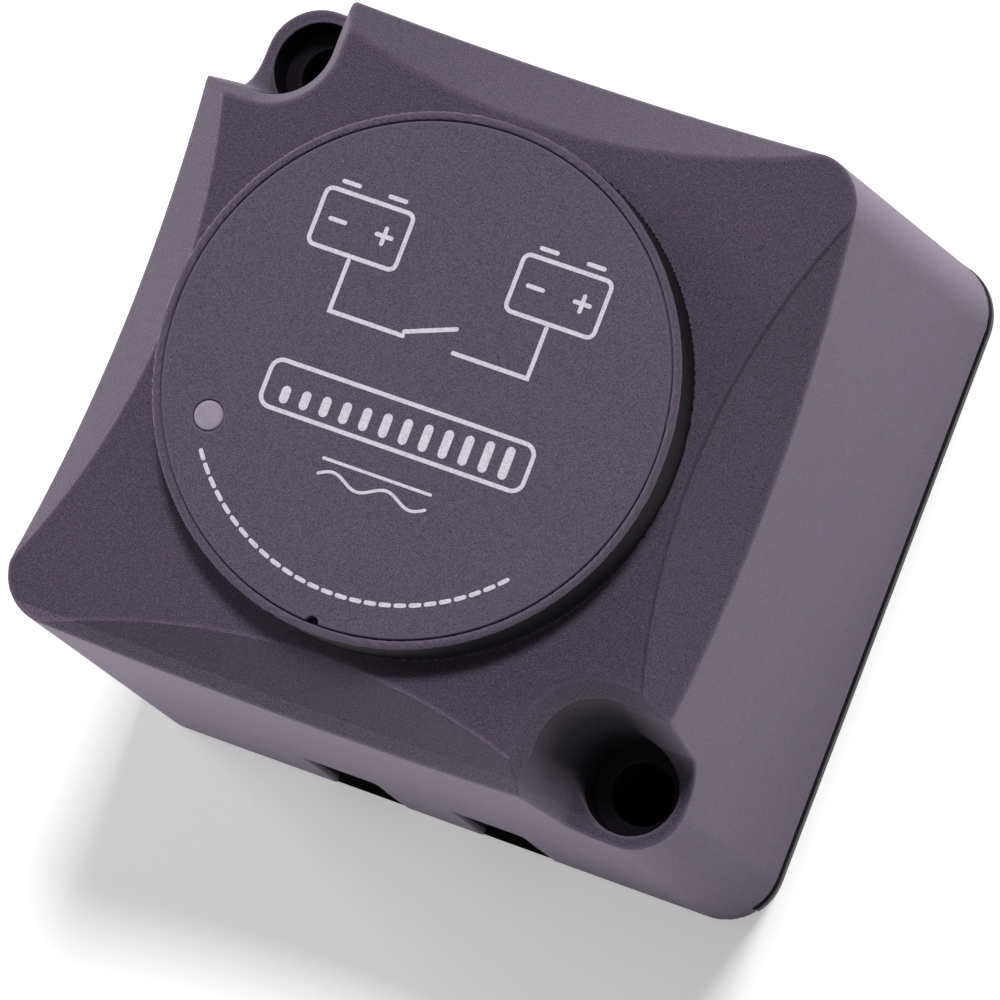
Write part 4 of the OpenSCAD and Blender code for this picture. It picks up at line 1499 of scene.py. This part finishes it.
    def pocket(self, u: Array, v: Array, z: Array) -> Array:
        """Distance of the open pocket above a mounting hole.

        Args:
            u: places along the first side, outward from the hole.
            v: places along the second side.
            z: heights.

        Returns:
            The signed distance.
        """
        q = self.corner_distance(u, v)
        bend_z = self.pocket_floor_z + self.pocket_fillet_r
        lip_z = self.body_h - self.pocket_lip_h
        lean = self.pocket_lean / (lip_z - bend_z)
        bevel = self.pocket_lip_w / self.pocket_lip_h
        lip_r = self.pocket_fillet_r + self.pocket_lean
        foot = np.hypot(np.maximum(q, 0.0), z - bend_z) - self.pocket_fillet_r
        wall = (q - self.pocket_fillet_r - lean * (z - bend_z)) / math.hypot(1.0, lean)
        lip = (q - lip_r - bevel * (z - lip_z)) / math.hypot(1.0, bevel)
        upper = -round_max(-wall, -lip, self.lip_round)
        return np.where(z < bend_z, foot, upper)

    def inside(self) -> Solid:
        """The closed chamber behind the front, without what stands in it."""
        roof_z = self.body_h - self.wall
        turn = (self.scoop_start + self.body_h) * DIAGONAL - self.wall
        roof_half = turn / DIAGONAL - roof_z
        lean = self.draft_in / self.body_h
        turn_z = (turn - DIAGONAL * self.front_wall) / (DIAGONAL - DIAGONAL * lean)
        r = self.corner_r - self.wall
        levels = [(-self.over, self.front_wall, r), (turn_z, self.half - lean * turn_z - self.wall, r),
                  (roof_z, roof_half, r)]
        room = round_square(levels).met(plane(0.0, 0.0, 1.0, roof_z), self.crease)
        room = room | disc(self.boss_inner_r, roof_z - self.over, self.boss_roof_z)
        far = 2 * self.half
        bays = block((-self.block_half, self.block_half), (-far, -self.block_back), (-far, self.deck_z))
        seat = block((-far, far), (-far, self.seat_lip_w - self.front_wall), (-far, self.deck_z))
        keep = room.cut(bays | seat, self.crease).cut(self.posts(self.post_r, self.deck_z), self.crease)
        keep = keep.cut(self.chassis_posts(), self.crease)
        for quarter in self.mount_quarters:
            corner = self.corner(quarter, lambda u, v, z: self.corner_distance(u, v) - self.pillar_r)
            keep = keep.cut(corner, self.crease)
        studs = disc(self.board_stud_r, self.board_top_z, self.front_z)
        return keep.cut(self.at_board_studs(studs), self.sharp)

    def at_board_studs(self, solid: Solid) -> Solid:
        """The solid at each of the four studs that the board hangs from."""
        at = self.board_stud
        return every(solid.at(x * at, y * at) for x in (-1, 1) for y in (-1, 1))

    def posts(self, r: float, top: float) -> Solid:
        """The four posts that take the cover's pegs, or their holes.

        Args:
            r: radius.
            top: height of their ends.

        Returns:
            The posts.
        """
        near, side = self.front_wall - self.post_r + self.post_sink, self.post_side
        spots = [(near, near), (-near, -near), (near, -side), (-near, side)]
        return every(disc(r, -self.over, top).at(*spot) for spot in spots)

    def chassis_posts(self) -> Solid:
        """The two posts and ribs that carry the chassis."""
        x, y = self.chassis_post
        heights = (self.chassis_top_z, self.deck_z)
        found = []
        for side in (-1, 1):
            found.append(disc(self.chassis_post_r, *heights).at(side * x, y))
            ends = tuple(sorted((side * x, side * self.half)))
            found.append(block(ends, (y - self.rib_t / 2, y + self.rib_t / 2), heights))
        return every(found)

    def seat(self) -> Solid:
        """The step at the back that the cover and its gasket lie in."""
        far = 2 * self.half
        low = slab(-self.over, self.seat_z) & plane(0.0, -1.0, 0.0, self.front_wall)
        bays = block((-self.bay_out, self.bay_out), (-far, -self.bay_back), (-far, far))
        return low - bays - self.at_mounts(pillar(self.foot_r))

    def bays(self) -> Solid:
        """The two terminal bays, their cable notches and the holes of the studs."""
        found = []
        x, y = self.stud_spot
        for side in (-1, 1):
            ends = tuple(sorted((side * self.bay_in, side * self.bay_out)))
            bay = block(ends, (-self.front_wall, -self.bay_back), (-self.over, self.bay_depth))
            left = side * self.notch_x - self.notch_w / 2
            notch = block((left, left + self.notch_w),
                          (-self.half - self.over, self.over - self.front_wall),
                          (-self.over, self.notch_h))
            hole = disc(self.stud_hole_r, self.bay_depth - self.over, self.deck_z + self.over)
            recess = disc(self.seal_r, self.deck_z - self.seal_t, self.deck_z + self.over)
            found += [bay, notch, (hole | recess).at(side * x, y)]
        return every(found)

    def lead_hole(self) -> Solid:
        """The hole of the lead's grommet, through the inner wall of a bay."""
        x, z = self.grommet_spot
        through = Solid(lambda p: np.maximum(-p.y - self.bay_back - self.over, p.y + self.block_back
                                             - self.over))
        return Solid(lambda p: np.hypot(p.x - x, p.z - z) - self.grommet_r) & through

    def solid(self) -> Solid:
        """The whole case."""
        boss = pillar(self.boss_r).met(plane(0.0, 0.0, 1.0, self.front_z), self.crease)
        boss = boss & plane(0.0, 0.0, -1.0, self.over - self.body_h)
        case = self.body().joined(boss, self.sharp)
        far = self.front_z + self.over
        for quarter in self.mount_quarters:
            case = case.cut(self.corner(quarter, self.pocket), self.crease)
        recess = disc(self.counterbore_r, self.ledge_z, far)
        case = case.cut(self.at_mounts(recess), self.sharp)
        case = case.cut(self.at_mounts(pillar(self.hole_r)), self.sharp)
        case = case - self.inside()
        case = case.cut(self.bays(), self.sharp)
        case = case.cut(self.seat(), self.sharp)
        case = case.cut(disc(self.boss_r - self.rim_w, self.label_z, far), self.sharp)
        window = disc(self.window_r + self.window_gap, self.boss_roof_z - self.over, far)
        case = case - window.at(*self.window_at)
        case = case - self.lead_hole() - self.posts(self.peg_r, self.peg_top_z)
        x, y = self.chassis_post
        screws = every(disc(self.screw_r, -self.over, self.chassis_hole_z).at(side * x, y)
                       for side in (-1, 1))
        board = disc(self.board_hole_r, self.board_z, self.board_z + self.board_hole_h)
        return case - screws - self.at_board_studs(board)

    def build(self, paints: Paintbox) -> None:
        """Builds and dresses the case.

        Args:
            paints: the finishes.
        """
        low, high = (-self.half, -self.half, 0.0), (self.half, self.half, self.front_z)
        case = self.moulding.mesh("housing_shell", self.solid(), low, high)
        paints.dress_new(case, "housing_plastic", "case", "housing")


@dataclass
class Label:
    """The round disc in the boss, and the light pipe that serves as its window."""

    edge_round: float = 0.16
    notch_r: float = 0.6
    notch_angle: float = 268.0
    below_rim: float = 0.03
    hole_r: float = 1.5
    pipe_r: float = 1.45
    pipe_round: float = 0.3
    flange_r: float = 2.3
    flange_t: float = 1.0
    moulding: Moulding = field(default_factory=lambda: Moulding(Net(step=0.2), keep=0.2, lean_in=0.2))
    pipe_moulding: Moulding = field(default_factory=lambda: Moulding(Net(step=0.12), keep=0.5))

    def __post_init__(self) -> None:
        """Takes the places and heights of both pieces from the frame."""
        self.low, self.high = corner_of("label_disc", high=False), corner_of("label_disc")
        self.pipe_low, self.pipe_high = corner_of("led_window", high=False), corner_of("led_window")
        self.pipe_at = middle_of("led_window")[:2]

    def disc_solid(self) -> Solid:
        """The disc with its pry notch and the hole of the window."""
        r, _, top = self.high
        turn = math.radians(self.notch_angle)
        body = disc(r, self.low[2], top - self.below_rim, self.edge_round)
        notch = pillar(self.notch_r).at(r * math.cos(turn), r * math.sin(turn))
        hole = pillar(self.hole_r).at(*self.pipe_at)
        return body.cut(notch, self.edge_round).cut(hole, self.edge_round)

    def pipe_solid(self) -> Solid:
        """The light pipe: a round rod with a flange below."""
        foot = self.pipe_low[2]
        rod = disc(self.pipe_r, foot, self.pipe_high[2], self.pipe_round)
        flange = disc(self.flange_r, foot, foot + self.flange_t, self.edge_round)
        return (rod | flange).at(*self.pipe_at)

    def build(self, paints: Paintbox) -> None:
        """Builds and dresses the disc and the light pipe.

        Args:
            paints: the finishes.
        """
        plate = self.moulding.mesh("label_plate", self.disc_solid(), self.low, self.high)
        paints.dress_new(plate, "label_plastic", "case", "label_disc")
        pipe = self.pipe_moulding.mesh("light_pipe", self.pipe_solid(), self.pipe_low, self.pipe_high)
        paints.dress_new(pipe, "light_pipe", "case", "led_window")


@dataclass
class Artwork:
    """Generic marks printed on the disc: two cells, a switch, a level bar and an arc of dashes."""

    line: float = 0.42
    thin: float = 0.3
    cell_w: float = 9.0
    cell_h: float = 5.6
    cell_x: float = 10.2
    cell_y: float = 11.6
    cell_r: float = 0.7
    pole_w: float = 1.6
    pole_h: float = 0.9
    pole_x: float = 2.4
    sign: float = 1.5
    wire_y: float = 3.4
    switch_half: float = 2.6
    blade_rise: float = 2.2
    blade_share: float = 0.8
    frame_w: float = 27.0
    frame_h: float = 4.6
    frame_y: float = -4.6
    frame_r: float = 1.1
    bars: int = 12
    bar_w: float = 0.9
    bar_pitch: float = 2.05
    bar_h: float = 2.3
    first_bar_share: float = 0.35
    wave_y: float = -11.2
    wave_half: float = 5.5
    wave_h: float = 1.0
    waves: int = 2
    wave_steps: int = 40
    level_rise: float = 1.5
    dash_r: float = 21.3
    dash_from: float = 217.0
    dash_to: float = 318.0
    dashes: int = 26
    dash_share: float = 0.55
    dash_points: int = 4
    cap_steps: int = 4
    cap_share: float = 0.45
    mitre_limit: float = 0.5
    print_t: float = 0.024
    lift: float = 0.004
    sink: float = 0.01
    places: list = field(default_factory=list)
    faces: list = field(default_factory=list)

    def __post_init__(self) -> None:
        """Takes the height of the print from the frame."""
        self.foot = corner_of("label_disc")[2] - Label.below_rim - self.sink
        self.top = self.foot + self.sink + self.print_t

    def capped(self, line: Array, width: float) -> tuple[Array, Array]:
        """Adds round ends to a line.

        Args:
            line: its points.
            width: its width.

        Returns:
            The longer line and its half width at each point.
        """
        turn = np.linspace(0.0, self.cap_share * np.pi, self.cap_steps + 1)[1:]
        first = (line[0] - line[1]) / np.linalg.norm(line[0] - line[1])
        last = (line[-1] - line[-2]) / np.linalg.norm(line[-1] - line[-2])
        head = line[0] + first * (width / 2) * np.sin(turn[::-1])[:, None]
        tail = line[-1] + last * (width / 2) * np.sin(turn)[:, None]
        half = np.concatenate([np.cos(turn[::-1]), np.ones(len(line)), np.cos(turn)]) * width / 2
        return np.concatenate([head, line, tail]), half

    def stroke(self, line: Sequence[Spot], width: float, closed: bool = False, lift: float = 0.0) -> None:
        """Prints a line as a thin closed solid.

        Args:
            line: its points in the plane of the disc.
            width: its width.
            closed: whether its end meets its start.
            lift: how much higher it lies than the others, where it crosses one.
        """
        path = np.array(line, float)
        half = np.full(len(path), width / 2)
        if not closed:
            path, half = self.capped(path, width)
        ahead = np.roll(path, -1, 0) - path
        behind = path - np.roll(path, 1, 0)
        if not closed:
            ahead[-1], behind[0] = behind[-1], ahead[0]
        ahead /= np.linalg.norm(ahead, axis=1, keepdims=True)
        behind /= np.linalg.norm(behind, axis=1, keepdims=True)
        middle = ahead + behind
        middle /= np.linalg.norm(middle, axis=1, keepdims=True)
        side = np.stack([-middle[:, 1], middle[:, 0]], 1)
        reach = half / np.maximum((middle * ahead).sum(1), self.mitre_limit)
        left, right = path + side * reach[:, None], path - side * reach[:, None]
        count, start = len(path), sum(len(part) for part in self.places)
        rings = np.zeros((count, 4, 3))
        rings[:, 0, :2], rings[:, 1, :2], rings[:, 2, :2], rings[:, 3, :2] = left, right, right, left
        rings[:, :2, 2], rings[:, 2:, 2] = self.top + lift, self.foot
        self.places.append(rings.reshape(-1, 3))
        a = np.arange(count if closed else count - 1)
        b = (a + 1) % count
        for k in range(4):
            n = (k + 1) % 4
            self.faces.append(start + np.stack([4 * a + k, 4 * b + k, 4 * b + n, 4 * a + n], 1)[:, ::-1])
        if not closed:
            last = start + 4 * (count - 1)
            self.faces.append(np.array([[start + 3, start + 2, start + 1, start]])[:, ::-1])
            self.faces.append(np.array([[last, last + 1, last + 2, last + 3]])[:, ::-1])

    def round_box(self, x: float, y: float, w: float, h: float, r: float) -> None:
        """Prints a rectangle with round corners.

        Args:
            x: x of its middle.
            y: y of its middle.
            w: its width.
            h: its height.
            r: radius of its corners.
        """
        points = []
        for quarter, (sx, sy) in enumerate(((1, 1), (-1, 1), (-1, -1), (1, -1))):
            for turn in np.linspace(0.0, 0.5 * np.pi, 2 * self.cap_steps) + quarter * 0.5 * np.pi:
                points.append((x + sx * (w / 2 - r) + r * math.cos(turn),
                               y + sy * (h / 2 - r) + r * math.sin(turn)))
        self.stroke(points, self.line, closed=True)

    def cell(self, side: int) -> None:
        """Prints a battery with its two poles and their signs.

        Args:
            side: -1 for the left one and 1 for the right one.
        """
        x, y = side * self.cell_x, self.cell_y
        self.round_box(x, y, self.cell_w, self.cell_h, self.cell_r)
        top = y + self.cell_h / 2 + self.pole_h
        for pole in (-1, 1):
            at = x + pole * self.pole_x
            self.stroke([(at - self.pole_w / 2, top), (at + self.pole_w / 2, top)], self.line)
            self.stroke([(at - self.sign / 2, y), (at + self.sign / 2, y)], self.line)
        at = x + self.pole_x
        self.stroke([(at, y - self.sign / 2), (at, y + self.sign / 2)], self.line, lift=self.lift)

    def switch(self) -> None:
        """Prints the wire that joins the cells, with an open contact in its middle."""
        foot = self.cell_y - self.cell_h / 2 - self.line
        for side in (-1, 1):
            self.stroke([(side * self.cell_x, foot), (side * self.cell_x, self.wire_y),
                         (side * self.switch_half, self.wire_y)], self.line)
        self.stroke([(-self.switch_half, self.wire_y + self.line),
                     (self.switch_half * self.blade_share, self.wire_y + self.blade_rise)], self.line)

    def bars_in_frame(self) -> None:
        """Prints the framed row of bars, each a little taller than the one before."""
        self.round_box(0.0, self.frame_y, self.frame_w, self.frame_h, self.frame_r)
        foot = self.frame_y - self.bar_h / 2
        for i in range(self.bars):
            x = (i - (self.bars - 1) / 2) * self.bar_pitch
            share = self.first_bar_share + (1.0 - self.first_bar_share) * i / (self.bars - 1)
            self.stroke([(x, foot), (x, foot + self.bar_h * share)], self.bar_w)

    def wave(self) -> None:
        """Prints a level line over a wavy one, the sign of a steady supply."""
        turn = np.linspace(0.0, 2 * np.pi * self.waves, self.wave_steps)
        x = np.linspace(-self.wave_half, self.wave_half, self.wave_steps)
        self.stroke(list(zip(x, self.wave_y + self.wave_h / 2 * np.sin(turn))), self.thin)
        level = self.wave_y + self.level_rise
        self.stroke([(-self.wave_half, level), (self.wave_half, level)], self.thin)

    def arc(self) -> None:
        """Prints the arc of dashes along the lower edge, from the window onward."""
        step = (self.dash_to - self.dash_from) / self.dashes
        for i in range(self.dashes):
            along = i + np.linspace(0.0, self.dash_share, self.dash_points)
            turn = np.radians(self.dash_from + step * along)
            self.stroke(list(zip(self.dash_r * np.cos(turn), self.dash_r * np.sin(turn))), self.line)

    def build(self, paints: Paintbox) -> None:
        """Builds and dresses the print.

        Args:
            paints: the finishes.
        """
        self.cell(-1)
        self.cell(1)
        self.switch()
        self.bars_in_frame()
        self.wave()
        self.arc()
        made = make_mesh("label_print", np.concatenate(self.places), np.concatenate(self.faces))
        made.data.shade_flat()
        paints.dress(made, "pad_print")
        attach(made, "case")
        log.info("%s: %d faces", made.name, len(made.data.polygons))


@dataclass
class Stud:
    """A terminal stud with a rolled thread on its free end."""

    node: str
    r: float = 3.0
    root_r: float = 2.5
    pitch: float = 1.0
    thread_top_z: float = 9.8
    head_r: float = 5.0
    bus_top_z: float = 22.0
    chamfer: float = 0.5
    head_chamfer: float = 0.3
    root_gap: float = 0.05
    crest_share: float = 0.25
    flank_share: float = 0.25
    rows_per_pitch: int = 8
    sides: int = 64

    def profile(self, share: Array) -> tuple[Array, Array]:
        """Radius and height of each row, round the axis.

        Args:
            share: how far round the axis.

        Returns:
            The radii and the heights.
        """
        low, high = corner_of(self.node, high=False)[2], corner_of(self.node)[2]
        count = int((self.thread_top_z - low) / self.pitch * self.rows_per_pitch)
        z = all_round(np.linspace(low, self.thread_top_z, count), share)
        off_crest = np.abs((z / self.pitch - share[None]) % 1.0 - 0.5)
        tooth = (self.crest_share / 2 + self.flank_share - off_crest) / self.flank_share
        start = np.clip((z - low) / self.chamfer, 0.0, 1.0)
        end = np.clip((self.thread_top_z - z) / self.chamfer, 0.0, 1.0)
        crest = self.root_r + (self.r - self.root_r) * np.minimum(start, end)
        root = self.root_r - self.root_gap
        thread = root + (crest - root) * np.clip(tooth, 0.0, 1.0)
        shank = [(self.root_r, self.thread_top_z), (self.root_r, self.bus_top_z),
                 (self.head_r, self.bus_top_z), (self.head_r, high - self.head_chamfer),
                 (self.head_r - self.head_chamfer, high)]
        shank_r, shank_z = (all_round(column, share) for column in zip(*shank))
        return np.concatenate([thread, shank_r]), np.concatenate([z, shank_z])

    def build(self, paints: Paintbox) -> None:
        """Builds and dresses the stud.

        Args:
            paints: the finishes.
        """
        sweep = Sweep(self.sides)
        made = sweep.turned(self.node + "_threaded", self.profile, middle_of(self.node)[:2])
        paints.dress_new(made, "stud_brass", "case", self.node)


@dataclass
class Winding:
    """The wound coil, whose outer layer climbs turn by turn."""

    wire: float = 0.62
    inner_r: float = 5.35
    rows_per_turn: int = 8
    sides: int = 72

    def build(self, paints: Paintbox) -> None:
        """Builds and dresses the winding.

        Args:
            paints: the finishes.
        """
        bottom = corner_of("coil_winding", high=False)[2]
        outer, _, top = corner_of("coil_winding")
        count = int((top - bottom) / self.wire * self.rows_per_turn)

        def profile(share: Array) -> tuple[Array, Array]:
            """The inner wall, then the outer layer's wires, then back to the inner wall."""
            z = all_round(np.linspace(bottom, top, count), share)
            phase = (z / self.wire - share[None]) % 1.0 - 0.5
            bulge = self.wire * np.sqrt(np.maximum(0.25 - phase * phase, 0.0))
            inner = all_round([self.inner_r], share)
            radii = [inner, outer - self.wire / 2 + bulge, inner]
            heights = [all_round([bottom], share), z, all_round([top], share)]
            return np.concatenate(radii), np.concatenate(heights)

        made = Sweep(self.sides).ring("coil_wound", profile, middle_of("coil_winding")[:2])
        paints.dress_new(made, "enamelled_wire", "case", "coil_winding")


@dataclass
class Spring:
    """A coil spring whose ends lie flat."""

    node: str
    joint: str
    body: str
    wire: float
    turns: float
    seat: Place
    axis: Place
    keep: float
    length: float
    coil_r: float
    steps_per_turn: int = 48
    closed_turns: float = 0.8
    sides: int = 12

    def build(self, paints: Paintbox) -> None:
        """Builds and dresses the spring.

        Args:
            paints: the finishes.
        """
        count = int(self.turns * self.steps_per_turn)
        turn = np.linspace(0.0, self.turns, count)
        active = np.clip((turn - self.closed_turns / 2) / (self.turns - self.closed_turns), 0.0, 1.0)
        rise = self.wire / 2 + (self.length - self.wire) * active
        angle = 2 * np.pi * turn
        line = np.stack([self.coil_r * np.cos(angle), self.coil_r * np.sin(angle), rise], 1)
        up = np.array(self.axis) / np.linalg.norm(self.axis)
        tilt = math.atan2(-up[1], up[2])
        lean = np.array([[1.0, 0.0, 0.0], [0.0, math.cos(tilt), -math.sin(tilt)],
                         [0.0, math.sin(tilt), math.cos(tilt)]])
        line = line @ lean.T + np.array(self.seat)
        made = Sweep(self.sides).tube(self.node + "_wire", line, self.wire / 2)
        paints.dress_new(made, "spring_steel", self.body, self.node)
        anchor = tuple(v * MM for v in self.seat)
        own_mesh(made)


@dataclass(frozen=True)
class Lamp:
    """A large soft square lamp: its name, where it hangs, its side and its power."""

    name: str
    place: Place
    side: float
    watts: float


@dataclass
class Studio:
    """Camera, floor, lamps and background."""

    lamps: tuple[Lamp, ...] = (Lamp("key", (60.0, 490.0, 1130.0), 200.0, 10.2),
                               Lamp("side", (-1000.0, 180.0, 260.0), 600.0, 7.0))
    eye: Place = (298.613, -92.814, 927.411)
    across: Place = (0.89707, 0.35694, -0.2605)
    upward: Place = (-0.31361, 0.92958, 0.19375)
    lens: float = 361.08
    sensor: float = 36.0
    floor_half: float = 3000.0
    floor_tone: float = 0.92
    floor_glow: float = 0.39
    # Floor colour under the case, painted near black as shade.
    painted_shade_under_case: float = 0.04
    table_glow: float = 2.3
    table_half: float = 130.0
    table_near: float = 90.0
    near_share: float = 0.35
    dim_corner: Place = (45.0, -45.0, 0.0)
    dim_share: float = 0.2
    footprint: float = 33.8
    corner_r: float = 5.7
    sky: float = 0.1
    aim: Place = (0.0, 0.0, 30.0)

    def camera(self) -> None:
        """Makes the camera where the photograph was taken from."""
        data = bpy.data.cameras.new("camera")
        data.lens, data.sensor_width, data.sensor_fit = self.lens, self.sensor, "HORIZONTAL"
        made = bpy.data.objects.new("camera", data)
        bpy.context.scene.collection.objects.link(made)
        x = Vector(self.across).normalized()
        y = Vector(self.upward).normalized()
        z = x.cross(y).normalized()
        y = z.cross(x)
        turn = Matrix((x, y, z)).transposed().to_4x4()
        made.matrix_world = Matrix.Translation(Vector(self.eye) * MM) @ turn
        bpy.context.scene.camera = made

    def seen(self, shader: Shader) -> Value:
        """One for rays that come from the camera or from a glossy surface."""
        from_camera = shader.node("ShaderNodeLightPath", output="Is Camera Ray")
        return from_camera.largest(shader.node("ShaderNodeLightPath", output="Is Glossy Ray"))

    def floor(self) -> None:
        """Makes the pale light table, which shows white, keeps the shadow and lights the sides.

        Under the case it doesn't glow and is painted near black as shade, so the cable notches stay dark.
        """
        h = self.floor_half
        corners = np.array([[-h, -h, 0.0], [h, -h, 0.0], [h, h, 0.0], [-h, h, 0.0]])
        made = make_mesh("floor", corners, np.array([[0, 1, 2, 3]]))
        shader = Shader(bpy.data.materials.new("floor"))
        seen = self.seen(shader)
        x, y, _ = shader.parts(shader.place())
        far = abs(x).largest(abs(y))
        inner = self.footprint - self.corner_r
        out_x, out_y = ((abs(part) - inner).largest(0.0) for part in (x, y))
        open_floor = shader.length(out_x, out_y) > self.corner_r
        # Under the case the floor is painted near black, as painted shade.
        tone = open_floor.between((self.painted_shade_under_case,) * 3, (self.floor_tone,) * 3)
        matt = shader.node("ShaderNodeBsdfDiffuse", {}, {"Color": tone})
        table = far.ramp(self.table_half, 2.0 * self.table_half, (self.table_glow, 0.0))
        table = table * far.ramp(self.footprint, self.table_near, (self.near_share, 1.0))
        from_corner = shader.node("ShaderNodeVectorMath", {"operation": "DISTANCE"},
                                  {0: shader.place(), 1: self.dim_corner}, "Value")
        table = table * from_corner.ramp(0.0, self.table_near, (self.dim_share, 1.0)) * (1.0 - seen)
        level = (table + seen * self.floor_glow) * open_floor
        glow = shader.node("ShaderNodeEmission", {}, {"Strength": level})
        both = shader.node("ShaderNodeAddShader", {}, {0: matt, 1: glow})
        made.data.materials.append(shader.finish(both))

    def background(self) -> None:
        """A plain world that looks white and lights softly."""
        shader = Shader(bpy.data.worlds.new("world"))
        level = self.seen(shader).ramp(0.0, 1.0, (self.sky, 1.0))
        light = shader.node("ShaderNodeBackground", {}, {"Strength": level})
        bpy.context.scene.world = shader.finish(light)

    def hang(self, lamp: Lamp) -> None:
        """Adds a lamp that looks at the relay.

        Args:
            lamp: the lamp.
        """
        data = bpy.data.lights.new(lamp.name, "AREA")
        data.shape, data.size, data.energy = "SQUARE", lamp.side * MM, lamp.watts
        made = bpy.data.objects.new(lamp.name, data)
        bpy.context.scene.collection.objects.link(made)
        at = Vector(lamp.place) * MM
        turn = (at - Vector(self.aim) * MM).to_track_quat("Z", "Y").to_matrix().to_4x4()
        made.matrix_world = Matrix.Translation(at) @ turn
        made.visible_camera = False
        made.visible_glossy = False

    def build(self) -> None:
        """Builds the studio."""
        self.camera()
        self.floor()
        self.background()
        for lamp in self.lamps:
            self.hang(lamp)
        bpy.context.scene.view_settings.view_transform = "Standard"
        log.info("studio ready")


def springs() -> list[Spring]:
    """The return spring and the contact pressure spring, placed from the frame.

    Returns:
        Both springs.
    """
    wire, turns, travel = 0.7, 6.0, 1.45
    low, high = corner_of("return_spring", high=False), corner_of("return_spring")
    seat = (*middle_of("return_spring")[:2], low[2])
    length = high[2] - low[2]
    back = Spring("return_spring", "armature_swing", "case", wire, turns, seat, (0.0, 0.0, 1.0),
                  1.0 - travel / length, length, (high[0] - low[0] - wire) / 2)
    open_angle, wire, turns, length, travel = math.radians(2.811), 0.5, 3.0, 3.0, 0.4
    up = (0.0, math.sin(open_angle), math.cos(open_angle))
    low, high = corner_of("pressure_spring", high=False), corner_of("pressure_spring")
    far = tuple(m + length / 2 * a for m, a in zip(middle_of("pressure_spring"), up))
    down = tuple(-a for a in up)
    press = Spring("pressure_spring", "bridge_overtravel", "clapper", wire, turns, far, down,
                   1.0 - travel / length, length, (high[0] - low[0] - wire) / 2)
    return [back, press]


def main() -> None:
    """Builds every part of the scene in order."""
    logging.basicConfig(level=logging.INFO, format="%(name)s %(relativeCreated)d %(message)s")
    paints = Paintbox()
    Studio().build()
    Housing().build(paints)
    Label().build(paints)
    Artwork().build(paints)
    for node in ("stud_house", "stud_start"):
        Stud(node).build(paints)
    Winding().build(paints)
    for spring in springs():
        spring.build(paints)
    shown = [name for name, node in frame["nodes"].items() if not node.hide_render]
    paints.dress_frame(shown)


if __name__ == "__main__":
    main()
